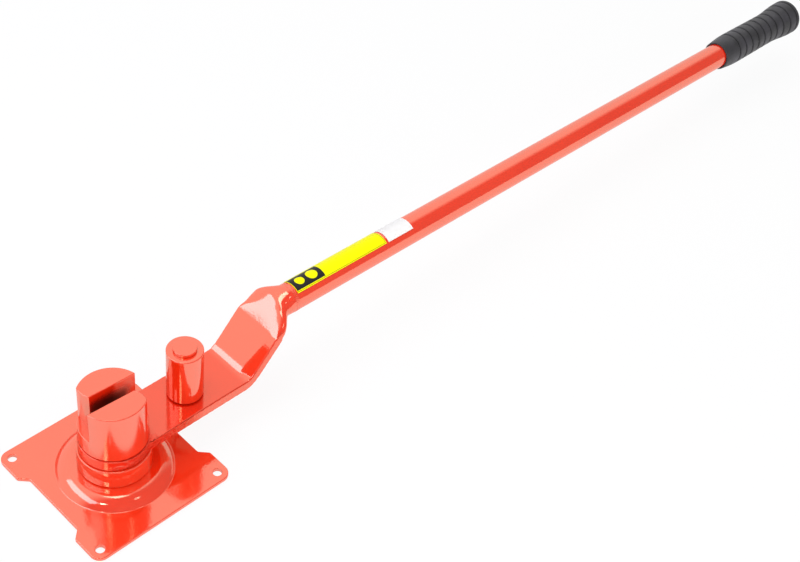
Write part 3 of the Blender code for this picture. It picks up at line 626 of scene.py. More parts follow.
def crank_stations():
    """The bar's middle line as the running sum of short steps, whose slope turns evenly in bends.

    The neck's top has a tilt of its own, which changes evenly between named places. What it climbs
    above the bar is the running sum of its slope against the middle line, which grows by the power
    of e on the outside of the bend, and is scaled so that it ends at the tube's top.
    """
    lower_reach = LOWER_BEND_RADIUS * math.tan(CRANK_ANGLE / 2)
    upper_turn = CRANK_ANGLE + TUBE_DROP
    upper_reach = UPPER_BEND_RADIUS * math.tan(upper_turn / 2)
    slope_length = CRANK_RISE / math.sin(CRANK_ANGLE)
    lower_length = LOWER_BEND_RADIUS * CRANK_ANGLE
    crease_turn = CREASE_ANGLE / CRANK_ANGLE
    lag = lower_length * (1 - crease_turn * CREASE_SHARE - (1 - crease_turn) * (1 + CREASE_SHARE)) / 2
    marks = np.cumsum([0, CRANK_START - lower_reach + lag, lower_length,
                       slope_length - lower_reach - upper_reach - lag,
                       UPPER_BEND_RADIUS * upper_turn, neck_length - upper_reach])
    along = np.linspace(0, marks[-1], STATIONS)
    crease_end = marks[1] + CREASE_SHARE * lower_length
    heading = np.interp(along, (*marks[:2], crease_end, *marks[2:]),
                        (0, 0, CREASE_ANGLE, CRANK_ANGLE, CRANK_ANGLE, -TUBE_DROP, -TUBE_DROP))
    middle = (heading[1:] + heading[:-1]) / 2
    step = np.diff(along)
    x = np.concatenate([[0], np.cumsum(step * np.cos(middle))])
    z = arm_middle_z + np.concatenate([[0], np.cumsum(step * np.sin(middle))])
    places = marks[3] + np.array(NECK_TOP_SHARES) * (marks[-1] - marks[3])
    tilt = np.interp(along, places, (CRANK_ANGLE, *NECK_TOP_TILTS, -TUBE_DROP))
    slope = np.where(along > marks[3], np.tan(tilt - heading), 0)
    climb = np.concatenate([[0], np.cumsum((slope[1:] + slope[:-1]) / 2 * step)])
    bend_climb = np.interp(marks[4], along, climb)
    outside = UPPER_BEND_RADIUS + ARM_THICKNESS / 2
    swell = (outside * np.expm1(np.minimum(climb, bend_climb) / UPPER_BEND_RADIUS)
             + np.maximum(climb - bend_climb, 0))
    rounding = ease((along - marks[3]) / (UPPER_BEND_RADIUS * upper_turn + NECK_ROUNDING))
    crank_share = np.clip((along - marks[1]) / (marks[3] - marks[1]), 0, 1)
    lines = along, x, z, heading, swell / swell[-1], rounding, crank_share
    return [line[::STATION_SKIP] for line in lines]


def edge_roll(from_edge, width):
    """How far a rolled edge has dropped, in units of its width times its slope, at a distance from it.

    The slope is full over the outer part and eases to nothing at the roll's width.
    """
    share = np.clip(from_edge / width, 0, 1)
    inner = (1 - share) / ROLL_EASE_SHARE
    fading = ROLL_EASE_SHARE * (inner ** 3 - inner ** 4 / 2)
    full = 1 - ROLL_EASE_SHARE / 2 - share
    return np.where(share < 1 - ROLL_EASE_SHARE, full, fading)


def bar_skin():
    """A section carried along the bent middle line, whose neck swells into a round spigot.

    Each side of the neck narrows by itself, while its top climbs to the tube's and its section goes
    from a box to an ellipse. The crank's near edge is rolled down a little. The two narrow sides
    are flame-cut, so their faces waver in upright furrows. With the shell comes a mask of the
    points on the narrow sides.
    """
    along, x, z, heading, swell, rounding, crank_share = crank_stations()
    across, up, angle, side, round_angle = section_columns()
    narrowing = (ARM_WIDTH - 2 * TUBE_RADIUS) / 2
    near = ease((x - crank_end_x - NECK_NEAR_DELAY) / NECK_TAPER)[:, None]
    far = ease((x - crank_end_x - NECK_FAR_DELAY) / NECK_TAPER)[:, None]
    swell, rounding, crank_share = swell[:, None], rounding[:, None], crank_share[:, None]
    width = ARM_WIDTH - narrowing * (near + far)
    shift = narrowing * (near - far) / 2
    height = ARM_THICKNESS + (2 * TUBE_RADIUS - ARM_THICKNESS) * swell
    lift = (height - ARM_THICKNESS) / 2
    box_y = across * (width / 2 - ARM_EDGE) + ARM_EDGE * np.cos(angle)
    box_z = up * (height / 2 - ARM_EDGE) + ARM_EDGE * np.sin(angle)
    y = shift + box_y + rounding * (width / 2 * np.cos(round_angle) - box_y)
    rise = lift + box_z + rounding * (height / 2 * np.sin(round_angle) - box_z)
    roll_width = ROLL_LOW_WIDTH + (ROLL_HIGH_WIDTH - ROLL_LOW_WIDTH) * crank_share
    rolled = ease(crank_share / ROLL_START_SHARE) * (1 - rounding)
    drop = ROLL_SLOPE * roll_width * edge_roll(box_y + width / 2, roll_width) * rolled
    rise = rise - drop * (1 + up) / 2
    run = along[:, None]
    furrow = (noise(1, run * 1500, rise * 160, y * 40) + 0.6 * noise(2, run * 700, rise * 500, y * 90))
    y = y - np.sign(y - shift) * FURROW_DEPTH * side * (1 - rounding) * (1 + furrow)
    points = np.stack([x[:, None] - rise * np.sin(heading[:, None]), y,
                       z[:, None] + rise * np.cos(heading[:, None])], axis=-1)
    start = np.repeat(points[:1].mean(axis=1, keepdims=True), len(angle), axis=1)
    rings = [start, points[:-1]]
    spigot_radius = TUBE_RADIUS - TUBE_WALL - CLEARANCE
    for radius, place in ((TUBE_RADIUS, -TUBE_WELD_DEPTH), (TUBE_RADIUS - TUBE_WELD_DEPTH, 0.0),
                          (spigot_radius, 0.0), (spigot_radius, SPIGOT_LENGTH), (0.0, SPIGOT_LENGTH)):
        round_points = np.column_stack([-radius * np.sin(round_angle), radius * np.cos(round_angle),
                                        np.full(len(angle), place)])
        rings.append(on_tube((round_points, None))[0][None])
    grid = np.concatenate(rings)
    mask = np.zeros(grid.shape[:2])
    mask[1:len(points)] = side * (1 - rounding[:-1])
    return skin(grid), mask


def make_crank_arm():
    """The bar's skin, joined to the round eye and bored for the bush, its two washers and the pin."""
    shell, mask = bar_skin()
    arm = make_mesh("arm_skin", [shell], {"cut_side": mask})
    eye_profile = rounded([(0, eye_high_z, 0), (EYE_RADIUS, eye_high_z, EYE_EDGE),
                           (EYE_RADIUS, eye_low_z, EYE_EDGE), (0, eye_low_z, 0)], closed=False)
    eye = make_mesh("eye_skin", [turned(eye_profile, closed=False)])
    joined = cut(arm, [eye], "UNION")
    reach = ARM_THICKNESS
    bore = drum(bush_high.x + CLEARANCE, eye_low_z - reach, eye_high_z + reach)
    lower = drum(washer_high.x + CLEARANCE, eye_low_z - reach, eye_low_z + WASHER_RECESS)
    upper = drum(washer_high.x + CLEARANCE, eye_high_z - WASHER_RECESS, eye_high_z + reach)
    pin = moved(drum(PIN_RADIUS + CLEARANCE, eye_low_z - reach, eye_high_z + reach), PIN_DISTANCE)
    tools = [make_mesh("tool", [shell]) for shell in (bore, lower, upper, pin)]
    make_piece("cranked_bar", cut(joined, tools), "lever", ["crank_arm"], arm_paint)


def make_handle_tube():
    """A long ring profile, chamfered at its foot for the weld, carried round the lever's line."""
    bore = TUBE_RADIUS - TUBE_WALL
    profile = rounded([(bore, tube_top, BORE_EDGE), (TUBE_RADIUS, tube_top, TUBE_EDGE),
                       (TUBE_RADIUS, tube_bottom + TUBE_WELD_DEPTH, 0),
                       (TUBE_RADIUS - TUBE_WELD_DEPTH, tube_bottom, 0), (bore, tube_bottom, 0)])
    mesh = make_mesh("lever_tube", [on_tube(turned(profile, SLIM_STEPS))])
    make_piece("lever_tube", mesh, "lever", ["handle_tube"], tube_paint)


def make_tube_weld():
    """A bead laid in the V between neck and tube: its crown rises in overlapping ripples.

    Its face is a parabola across the bead, whose height follows a sine wave of the angle and
    whose middle wanders to and fro.
    """
    angle = full_turn(NECK_BEAD_STEPS)
    ripple = 0.5 + 0.5 * np.sin(TUBE_WELD_RIPPLES * angle + 1.4 * np.sin(3 * angle))
    rough = noise(7, 14 * np.cos(angle), 14 * np.sin(angle))
    crown = TUBE_WELD_CROWN * (0.30 + 0.16 * ripple + 0.06 * rough)
    share = np.linspace(-1, 1, NECK_BEAD_ROWS)[:, None]
    wander = TUBE_WELD_WANDER * noise(8, 6 * np.cos(angle), 6 * np.sin(angle))
    radius = TUBE_RADIUS + crown * (1 - share ** 2)
    height = CLEARANCE / 2 + TUBE_WELD_DEPTH * share + wander * (1 - share ** 2)
    root = circle(TUBE_RADIUS - TUBE_WELD_DEPTH + CLEARANCE, CLEARANCE / 2, angle)[None]
    shell = skin(np.concatenate([circle(radius, height, angle), root]), loop_rows=True)
    mesh = make_mesh("neck_weld_bead", [on_tube(shell)])
    make_piece("neck_weld_bead", mesh, "lever", ["tube_weld"], weld_paint)


def make_bending_pin():
    """A rounded profile with a wide, flat head, carried round the pin's axis."""
    head_low_z = pin_high.z - PIN_HEAD_HEIGHT
    head_radius = (pin_high.x - pin_low.x) / 2
    profile = rounded([(0, pin_high.z, 0), (head_radius, pin_high.z, PIN_EDGE),
                       (head_radius, head_low_z, PIN_EDGE / 2), (PIN_RADIUS, head_low_z, 0),
                       (PIN_RADIUS, pin_low.z, PIN_EDGE), (0, pin_low.z, 0)], closed=False)
    mesh = make_mesh("roller_pin", [moved(turned(profile, SLIM_STEPS, closed=False), PIN_DISTANCE)])
    make_piece("roller_pin", mesh, "lever", ["bending_pin"], turned_paint)


def make_pin_roller():
    """A rounded ring profile carried round the pin's axis."""
    bore = PIN_RADIUS + CLEARANCE
    radius = (roller_high.x - roller_low.x) / 2
    profile = rounded([(bore, roller_high.z, ROLLER_EDGE / 2), (radius, roller_high.z, ROLLER_EDGE),
                       (radius, roller_low.z, ROLLER_EDGE), (bore, roller_low.z, ROLLER_EDGE / 2)])
    mesh = make_mesh("roller_sleeve", [moved(turned(profile), PIN_DISTANCE)])
    make_piece("roller_sleeve", mesh, "roller", ["pin_roller"], turned_paint)


# Grip and labels

def grip_groove(along):
    """1 in the middle of each ring groove and 0 beside it, at a distance from the grip's mouth."""
    turn = (along - GRIP_FIRST_GROOVE) / GRIP_GROOVE_PITCH
    nearest = np.clip(np.round(turn), 0, GRIP_GROOVES - 1)
    return ease(1 - np.abs(turn - nearest) * GRIP_GROOVE_PITCH / GRIP_GROOVE_WIDTH)


def grip_outside(along):
    """Outer radius of the grip at a distance from its mouth, with its ring grooves pressed in."""
    share = along / GRIP_LENGTH
    swell = np.sin(np.clip(share / GRIP_SWELL_SHARE, 0, 1) * math.pi / 2)
    radius = GRIP_MOUTH_RADIUS + (GRIP_BODY_RADIUS - GRIP_MOUTH_RADIUS) * swell
    radius += (GRIP_WAIST_RADIUS - GRIP_BODY_RADIUS) * ease(
        (share - GRIP_SWELL_SHARE) / (GRIP_WAIST_SHARE - GRIP_SWELL_SHARE))
    radius += (GRIP_FLARE_RADIUS - GRIP_WAIST_RADIUS) * ease(
        (share - GRIP_WAIST_SHARE) / (GRIP_FLARE_SHARE - GRIP_WAIST_SHARE))
    return radius - GRIP_GROOVE_DEPTH * grip_groove(along)


def make_handle_grip():
    """The grip's profile carried round the tube: its bore, its lip, its grooves and a round end."""
    along = np.linspace(GRIP_MOUTH_LIP, GRIP_LENGTH - GRIP_END_ROUND * GRIP_END_SHARE, GRIP_ROWS)
    outside = np.column_stack([grip_outside(along), grip_bottom + along])
    turn = np.linspace(GRIP_END_TURN, math.pi / 2, GRIP_END_ROWS)
    end = np.column_stack([GRIP_FLARE_RADIUS - GRIP_END_ROUND + GRIP_END_ROUND * np.cos(turn),
                           grip_top - GRIP_END_ROUND + GRIP_END_ROUND * np.sin(turn)])
    bore = TUBE_RADIUS + CLEARANCE
    inside = np.array([(0, grip_top - GRIP_END_WALL), (bore, grip_top - GRIP_END_WALL),
                       (bore, grip_bottom + BORE_EDGE), (bore + BORE_EDGE, grip_bottom),
                       (GRIP_MOUTH_RADIUS - GRIP_MOUTH_LIP, grip_bottom)])
    profile = np.concatenate([inside, outside, end, [(0, grip_top)]])
    outer = profile[:, 0] > GRIP_MOUTH_RADIUS
    # a mask of the ring grooves, which the rubber uses to paint shade into them
    groove = np.repeat(outer * grip_groove(profile[:, 1] - grip_bottom), GRIP_STEPS)
    sleeve = on_tube(turned(profile, GRIP_STEPS, closed=False))
    mesh = make_mesh("grip_sleeve", [sleeve], {"groove": groove})
    make_piece("grip_sleeve", mesh, "lever", ["handle_grip"], grip_rubber)


def make_label(name, node, start, length, finish):
    """A sheet bent round the tube: a column lies at an even share of the arc, a row of the length."""
    angle = LABEL_TURN + LABEL_ARC * (np.linspace(0, 1, LABEL_COLUMNS) - 0.5)
    along = start + np.linspace(0, 1, LABEL_ROWS) * length
    lower, upper = (circle(-radius, along[:, None], -angle)
                    for radius in (TUBE_RADIUS + CLEARANCE, label_radius))
    points, faces = skin(np.concatenate([upper, lower[:, ::-1]], axis=1))
    loop = 2 * LABEL_COLUMNS
    column = np.arange(LABEL_COLUMNS - 1)
    end = np.stack([column, column + 1, loop - 2 - column, loop - 1 - column], axis=-1)
    faces = np.concatenate([faces, end, end + (LABEL_ROWS - 1) * loop])
    across = np.concatenate([angle, angle[::-1]]) * label_radius
    values = {"along": np.repeat(along - start, loop), "across": np.tile(across, LABEL_ROWS)}
    mesh = make_mesh(name, [on_tube((points, faces))], values)
    make_piece(name, mesh, "lever", [node], finish)


# Materials

class Value:
    """A shader socket; an expression on it adds the Math nodes that work it out."""

    def __init__(self, graph, socket):
        self.graph = graph
        self.socket = socket

    def __add__(self, other):
        return self.graph.math("ADD", self, other)

    def __radd__(self, other):
        return self.graph.math("ADD", other, self)

    def __sub__(self, other):
        return self.graph.math("SUBTRACT", self, other)

    def __rsub__(self, other):
        return self.graph.math("SUBTRACT", other, self)

    def __mul__(self, other):
        return self.graph.math("MULTIPLY", self, other)

    def __rmul__(self, other):
        return self.graph.math("MULTIPLY", other, self)

    def __abs__(self):
        return self.graph.math("ABSOLUTE", self)

    def step(self, start, end):
        """0 before start and 1 past end, with a smooth change between them; start may be the greater."""
        return self.graph.node("MapRange", {"interpolation_type": "SMOOTHSTEP"},
                               {"Value": self, "From Min": start, "From Max": end})


class Graph:
    """The nodes of a material or of the world."""

    def __init__(self, tree):
        self.tree = tree

    def node(self, kind, settings, sockets, output=0):
        """Adds a node, sets its settings, then its sockets, and gives one of its outputs."""
        node = self.tree.nodes.new("ShaderNode" + kind)
        for key, value in settings.items():
            setattr(node, key, value)
        for key, value in sockets.items():
            self.feed(node.inputs[key], value)
        return Value(self, node.outputs[output])

    def math(self, operation, *values):
        """A Math node on its inputs in order."""
        return self.node("Math", {"operation": operation}, dict(enumerate(values)))

    def feed(self, socket, value):
        """Links a value to a socket, or sets the socket to a colour or number."""
        if isinstance(value, Value):
            self.tree.links.new(value.socket, socket)
        elif isinstance(value, tuple) and socket.type == "RGBA":
            socket.default_value = (*value, 1)
        else:
            socket.default_value = value

    def seen(self):
        """1 for the rays that see the studio's white: camera, glossy and transmission rays.

        A glossy ray that has been mirrored once before sees it less.
        """
        camera, glossy, through = (self.node("LightPath", {}, {}, "Is %s Ray" % kind)
                                   for kind in ("Camera", "Glossy", "Transmission"))
        bounces = self.node("LightPath", {}, {}, "Glossy Depth")
        glossy = glossy * (1 - (1 - TWICE_MIRRORED) * self.math("GREATER_THAN", bounces, 1.5))
        return self.math("MAXIMUM", self.math("MAXIMUM", camera, glossy), through)


class Finish(Graph):
    """A material on one Principled shader, whose constants are set on its own sockets."""

    def __init__(self, name, **constants):
        self.material = bpy.data.materials.new(name)
        self.material.use_nodes = True
        super().__init__(self.material.node_tree)
        self.shader = self.tree.nodes["Principled BSDF"]
        for key, value in constants.items():
            self.shader.inputs[key.replace("_", " ")].default_value = value

    def place(self):
        """The point's place on the object."""
        return self.node("TexCoord", {}, {}, "Object")

    def axes(self):
        """The point's X, Y and Z on the object."""
        return (self.node("SeparateXYZ", {}, {"Vector": self.place()}, axis) for axis in "XYZ")

    def attribute(self, name):
        """A value that the mesh carries at its points."""
        return self.node("Attribute", {"attribute_name": name}, {}, "Fac")

    def grain(self, scale, detail, stretch=(1, 1, 1)):
        """Noise of 0 to 1 with so many cells to the metre, squeezed along the axes."""
        where = self.node("Mapping", {}, {"Vector": self.place(), "Scale": stretch})
        return self.node("TexNoise", {}, {"Vector": where, "Scale": scale, "Detail": detail})

    def mix(self, share, first, second):
        """Goes from the first colour to the second with the share."""
        return self.node("Mix", {"data_type": "RGBA"}, {0: share, 6: first, 7: second}, 2)

    def drifting_red(self):
        """The paint's red, with a slow drift of tone."""
        return self.mix(0.5 * self.grain(14, 3).step(0.35, 0.65), RED, LIGHT_RED)

    def bump(self, height, strength, distance):
        """Raises the surface's light and shade by a height."""
        sockets = {"Height": height, "Strength": strength, "Distance": distance}
        self.set("Normal", self.node("Bump", {}, sockets))

    def set(self, name, value):
        """Feeds one of the shader's own sockets."""
        self.feed(self.shader.inputs[name], value)


RED = (0.88, 0.022, 0.0034)
DEEP_RED = (0.62, 0.014, 0.003)
LIGHT_RED = (0.92, 0.032, 0.006)
# dark red painted into the slot's depths as shade
SLOT_SHADE_COLOUR = (0.16, 0.003, 0.001)
PRINT_BLACK = (0.022, 0.022, 0.026)
PRINT_BROWN = (0.12, 0.10, 0.01)
SLOT_SHADE_START = 0.003      # depths in the slot where the painted shade starts
SLOT_SHADE_FULL = 0.017       # and where it is full
SLOT_SHADE_EDGE = 0.0003
SLOT_SHADE_OFFSET = 0.003     # the dark stretch lies this far past the post's axis
SLOT_SHADE_CORE = 0.014
SLOT_SHADE_REACH = 0.025
ROUGH_CUT_START = 0.060       # X where the coarse cutting beside the post starts to fade
ROUGH_CUT_END = 0.085         # and where it is gone
TWICE_MIRRORED = 0.35         # of the studio's white that shows in a reflection of a reflection
GLOSS = {"Metallic": 0.0, "IOR": 2.0, "Specular_IOR_Level": 1.0,
         "Specular_Tint": (1.0, 0.98, 0.70, 1)}


def make_paint(name, peel, rough):
    """Gloss paint on steel: a slow drift of tone, a fine orange peel and a few specks of dust."""
    finish = Finish(name, **GLOSS)
    specks = finish.grain(900, 1).step(0.74, 0.80)
    finish.set("Base Color", finish.mix(0.35 * specks, finish.drifting_red(), DEEP_RED))
    finish.set("Roughness", rough + 0.05 * finish.grain(60, 4) + 0.10 * specks)
    finish.bump(finish.grain(420, 2) + 0.4 * specks, peel, 0.001)
    return finish.material


def make_head_paint():
    """The same paint on the post's head; deep in the slot's middle it is darkened to a dull dark red
    that mirrors little, as painted shade.
    """
    finish = Finish("head_paint", **GLOSS)
    x, y, z = finish.axes()
    across = y * math.cos(SLOT_TURN) - x * math.sin(SLOT_TURN)
    inside = abs(across).step(SLOT_HALF_WIDTH + SLOT_SHADE_EDGE, SLOT_HALF_WIDTH)
    deep = z.step(head_high.z - SLOT_SHADE_START, head_high.z - SLOT_SHADE_FULL)
    middle = abs(x - SLOT_SHADE_OFFSET).step(SLOT_SHADE_REACH, SLOT_SHADE_CORE)
    # painted shade: inside the slot, deep down and near its middle, the paint turns dark, rough and
    # mirrors its own dark red
    shade = inside * deep * middle * (0.9 + 0.1 * finish.grain(300, 3))
    finish.set("Base Color", finish.mix(shade, finish.drifting_red(), SLOT_SHADE_COLOUR))
    finish.set("Roughness", 0.11 + 0.05 * finish.grain(60, 4) + 0.30 * shade)
    finish.set("Metallic", 0.8 * shade)
    finish.bump(finish.grain(420, 2), 0.03, 0.001)
    return finish.material


def make_arm_paint():
    """The same paint over a flame-cut edge, whose scale shows through as sparkling grit; the flat
    stretch before the crank partly mirrors its own red, as painted shade.
    """
    finish = Finish("arm_paint", **GLOSS)
    x, y, z = finish.axes()
    round_eye = (x * x + y * y).step((EYE_RADIUS - EYE_EDGE) ** 2, EYE_RADIUS ** 2)
    eye_side = round_eye * x.step(EYE_RADIUS, EYE_RADIUS / 2) * x.step(-EYE_RADIUS / 2, 0)
    side = finish.math("MAXIMUM", eye_side, finish.attribute("cut_side").step(0.3, 0.9))
    coarse = x.step(ROUGH_CUT_END, ROUGH_CUT_START)
    pits = finish.grain(1500, 3).step(0.56, 0.70) * side
    deepened = finish.mix(pits * (0.35 + 0.5 * coarse), finish.drifting_red(), DEEP_RED)
    finish.set("Base Color", deepened)
    finish.set("Roughness", 0.06 + 0.05 * finish.grain(60, 4) + 0.06 * side)
    # painted shade: the flat stretch before the crank partly mirrors its own red instead of the white
    # room, so it looks darker
    flat = x.step(CRANK_START, CRANK_START - ARM_THICKNESS) * (1 - side)
    finish.set("Metallic", 0.40 * flat + (0.25 + 0.5 * coarse) * side)
    grit = finish.grain(1300, 4) * side
    lumps = finish.grain(330, 3).step(0.35, 0.75) * side * coarse
    finish.bump(finish.grain(420, 2) * 0.10 + grit * (0.5 + 0.7 * coarse) + 2.2 * lumps, 0.4, 0.001)
    return finish.material


def make_weld_paint():
    """Duller paint over the pits and crumbs of a weld."""
    finish = Finish("weld_paint", **GLOSS)
    pits = finish.grain(1800, 3).step(0.55, 0.75)
    finish.set("Base Color", finish.mix(0.4 * pits, RED, DEEP_RED))
    finish.set("Roughness", 0.2 + 0.15 * pits)
    finish.bump(finish.grain(1100, 4), 0.5, 0.001)
    return finish.material


def make_metal(name, colour, dark, rough):
    """Turned metal: fine rings, a film of grease and a little tarnish."""
    finish = Finish(name, Metallic=1.0)
    film = finish.grain(90, 4).step(0.4, 0.7)
    finish.set("Base Color", finish.mix(0.6 * film, colour, dark))
    finish.set("Roughness", rough + 0.18 * finish.grain(240, 3))
    finish.bump(finish.grain(160, 3, (1, 1, 14)), 0.15, 0.0005)
    return finish.material


def make_rubber():
    """Matt moulded rubber with a fine pebble, a grey bloom, dull scuffs and painted shade in its ring
    grooves.
    """
    finish = Finish("grip_rubber", Metallic=0.0, IOR=1.5)
    bloom = finish.grain(45, 5).step(0.35, 0.75)
    colour = finish.mix(bloom, (0.032, 0.031, 0.033), (0.056, 0.053, 0.062))
    # painted shade: the ring grooves are darkened to near black
    groove = finish.attribute("groove").step(0.15, 0.8)
    finish.set("Base Color", finish.mix(0.8 * groove, colour, (0.008, 0.008, 0.009)))
    finish.set("Roughness", 0.38 + 0.2 * finish.grain(120, 4) + 0.2 * groove)
    finish.bump(finish.grain(2600, 2) + 0.3 * finish.grain(500, 2), 0.25, 0.0006)
    return finish.material


def printed_frame(finish, along, across):
    """1 on a thin line that runs round the size label, a little inside its edge.

    Along each pair of sides the line is where the distance from the label's middle is near that
    side's own, and it stops where it meets the other pair.
    """
    half_width = LABEL_ARC / 2 * label_radius - LABEL_INSET
    half_length = SIZE_LABEL_LENGTH / 2 - LABEL_INSET
    from_middle = abs(across - LABEL_TURN * label_radius)
    from_centre = abs(along - SIZE_LABEL_LENGTH / 2)
    sides = abs(from_middle - half_width).step(LABEL_LINE, LABEL_LINE / 2)
    ends = abs(from_centre - half_length).step(LABEL_LINE, LABEL_LINE / 2)
    between_sides = from_middle.step(half_width + LABEL_LINE, half_width)
    between_ends = from_centre.step(half_length + LABEL_LINE, half_length)
    return finish.math("MAXIMUM", sides * between_ends, ends * between_sides)


def printed_block(finish, along, across, colour, ground):
    """A dark block with two plain discs, as large as the two bars that the slot takes."""
    start, end = BLOCK_ENDS
    low, high = (turn * label_radius for turn in BLOCK_TURNS)
    inside = ((along - start).step(0, PRINT_BLUR) * (end - along).step(0, PRINT_BLUR)
              * (across - low).step(0, PRINT_BLUR) * (high - across).step(0, PRINT_BLUR))
    colour = finish.mix(inside, colour, PRINT_BLACK)
    for share, bar in zip(DISC_SHARES, BAR_DIAMETERS):
        there, beside = along - (start + share * (end - start)), across - (low + high) / 2
        from_disc = finish.math("SQRT", there * there + beside * beside)
        disc = from_disc.step((bar + PRINT_BLUR) / 2, (bar - PRINT_BLUR) / 2)
        colour = finish.mix(disc, colour, ground)
    return colour


def make_label_film(name, ground, printed=False):
    """Film whose ground fades a little in patches; the size label is printed, the other is bare."""
    finish = Finish(name, Metallic=0.0, IOR=1.35, Specular_IOR_Level=0.25, Specular_Tint=(*ground, 1))
    fade = finish.grain(30, 3).step(0.3, 0.8)
    colour = finish.mix(0.25 * fade, ground, tuple(0.93 * value for value in ground))
    if printed:
        along, across = finish.attribute("along"), finish.attribute("across")
        colour = finish.mix(0.75 * printed_frame(finish, along, across), colour, PRINT_BROWN)
        colour = printed_block(finish, along, across, colour, ground)
    finish.set("Base Color", colour)
    finish.set("Roughness", 0.30 + 0.12 * finish.grain(80, 3))
    finish.bump(finish.grain(300, 2), 0.03, 0.001)
    return finish.material


plate_paint = make_paint("plate_paint", 0.05, 0.06)
turned_paint = make_paint("turned_paint", 0.03, 0.05)
head_paint = make_head_paint()
tube_paint = make_paint("tube_paint", 0.03, 0.07)
arm_paint = make_arm_paint()
weld_paint = make_weld_paint()
bright_steel = make_metal("bright_steel", (0.56, 0.57, 0.58), (0.30, 0.29, 0.28), 0.22)
bearing_bronze = make_metal("bearing_bronze", (0.60, 0.42, 0.20), (0.35, 0.22, 0.10), 0.3)
grip_rubber = make_rubber()
size_film = make_label_film("size_film", (0.90, 0.87, 0.004), printed=True)
mark_film = make_label_film("mark_film", (0.84, 0.83, 0.81))

make_base_plate()
make_base_boss()
make_slotted_head()
make_plug_weld()
make_hidden_welds()
make_crank_arm()
make_handle_tube()
make_tube_weld()
make_bending_pin()
make_pin_roller()
make_handle_grip()
make_label("size_film_sheet", "size_label", SIZE_LABEL_START, SIZE_LABEL_LENGTH, size_film)
make_label("mark_film_sheet", "mark_label", MARK_LABEL_START, MARK_LABEL_LENGTH, mark_film)
for node in ("pivot_shaft", "lower_thrust_washer", "upper_thrust_washer", "roller_washer"):
    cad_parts[node].material_slots[0].material = bright_steel
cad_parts["arm_bush"].material_slots[0].material = bearing_bronze


# Studio

FLOOR_SIZE = 12.0
FLOOR_RINGS = 40
FLOOR_STEPS = 96
FLOOR_WHITE_SHARE = 0.9       # of the floor's look that is plain white; the rest takes the shadow
ROOM_LIGHT = 0.57
NEAR_SIDE = (-0.2, 0.25)      # Y of the directions where the room goes from dim to white
NEAR_SIDE_LIGHT = 0.20
CAMERA_PLACE = (-0.45955, -0.66548, 1.01079)
CAMERA_AZIMUTH = math.radians(-50.28)
CAMERA_ELEVATION = math.radians(45.17)
CAMERA_ROLL = math.radians(8.11)
CAMERA_SENSOR = 36
CAMERA_LENS = 62.97
CAMERA_SHIFT = (0.0260, 0.0568)


def make_floor():
    """A wide flat sheet: white where it is seen, with the object's soft shadow left on it."""
    radius = FLOOR_SIZE * np.linspace(0, 1, FLOOR_RINGS)[:, None] ** 1.5
    points, faces = skin(circle(radius, -CLEARANCE, full_turn(FLOOR_STEPS)))
    mesh = bpy.data.meshes.new("studio_floor")
    mesh.from_pydata(points.tolist(), [], faces.tolist())
    floor = bpy.data.objects.new("studio_floor", mesh)
    bpy.context.scene.collection.objects.link(floor)
    paper = Finish("floor_paper", Base_Color=(0.9, 0.9, 0.9, 1), Roughness=0.9)
    white = paper.node("Emission", {}, {"Strength": 1.0})
    shader = Value(paper, paper.shader.outputs[0])
    seen = paper.node("MixShader", {}, {0: FLOOR_WHITE_SHARE * paper.seen(), 1: shader, 2: white})
    paper.feed(paper.tree.nodes["Material Output"].inputs["Surface"], seen)
    floor.data.materials.append(paper.material)


def make_world():
    """White to the camera; what gloss mirrors is white behind the tool and dim on the near side."""
    world = bpy.data.worlds.new("studio")
    bpy.context.scene.world = world
    world.use_nodes = True
    room = Graph(world.node_tree)
    way = room.node("TexCoord", {}, {}, "Generated")
    behind = room.node("SeparateXYZ", {}, {"Vector": way}, "Y").step(*NEAR_SIDE)
    glossy = room.node("LightPath", {}, {}, "Is Glossy Ray")
    white = 1 - glossy * (1 - behind) * (1 - NEAR_SIDE_LIGHT)
    back = room.tree.nodes["Background"]
    room.feed(back.inputs["Color"], (1.0, 1.0, 1.0))
    room.feed(back.inputs["Strength"], ROOM_LIGHT + room.seen() * (white - ROOM_LIGHT))


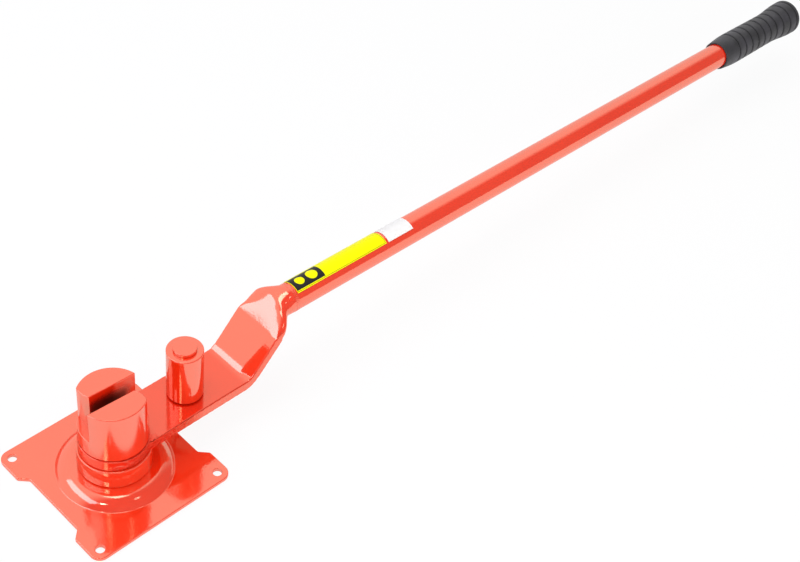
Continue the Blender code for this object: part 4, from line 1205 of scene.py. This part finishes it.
def make_lamp(name, place, target, size, power, mirrored=True, colour=(1, 1, 1)):
    """A rectangular softbox that faces its target; one that isn't mirrored stays out of the gloss."""
    light = bpy.data.lights.new(name, "AREA")
    light.color = colour
    light.shape = "RECTANGLE"
    light.size, light.size_y = size
    light.energy = power
    lamp = bpy.data.objects.new(name, light)
    bpy.context.scene.collection.objects.link(lamp)
    lamp.location = place
    lamp.visible_glossy = mirrored
    lamp.rotation_euler = (Vector(target) - Vector(place)).to_track_quat("-Z", "Y").to_euler()


def make_camera():
    """The photo's view: azimuth and elevation give its direction, and the roll turns it about that."""
    camera = bpy.data.objects.new("camera", bpy.data.cameras.new("camera"))
    bpy.context.scene.collection.objects.link(camera)
    azimuth, elevation, roll = CAMERA_AZIMUTH, CAMERA_ELEVATION, CAMERA_ROLL
    back = Vector((math.sin(azimuth) * math.cos(elevation),
                   -math.cos(azimuth) * math.cos(elevation), math.sin(elevation)))
    right = Vector((math.cos(azimuth), math.sin(azimuth), 0))
    up = back.cross(right)
    rolled_right = math.cos(roll) * right + math.sin(roll) * up
    rolled_up = math.cos(roll) * up - math.sin(roll) * right
    turn = Matrix((rolled_right, rolled_up, back)).transposed().to_4x4()
    camera.matrix_world = Matrix.Translation(CAMERA_PLACE) @ turn
    camera.data.sensor_width = CAMERA_SENSOR
    camera.data.sensor_fit = "HORIZONTAL"
    camera.data.lens = CAMERA_LENS
    camera.data.shift_x, camera.data.shift_y = CAMERA_SHIFT
    bpy.context.scene.camera = camera


make_floor()
make_world()
make_lamp("overhead_softbox", (0.0, 0.0, 2.0), (0.0, 0.0, 0.0), (0.5, 0.6), 3)
make_lamp("left_softbox", (-1.21, 0.53, 1.43), (0.15, 0.0, 0.08), (1.9, 0.66), 7.5,
          colour=(1.0, 1.0, 1.45))
make_lamp("front_spot", (-1.27, -0.62, 1.70), (0.0, 0.0, 0.05), (0.30, 0.25), 1.6)
make_lamp("right_spot", (0.26, -1.20, 1.85), (0.0, 0.0, 0.05), (0.20, 0.20), 0.6)
make_lamp("top_fill", (-0.1, 0.6, 2.4), (0.2, 0.0, 0.0), (1.6, 1.6), 19, mirrored=False)
make_lamp("front_fill", (-0.2, -2.2, 1.1), (0.3, 0.0, 0.0), (2.4, 1.4), 24, mirrored=False)
make_camera()
bpy.context.scene.view_settings.view_transform = "Standard"
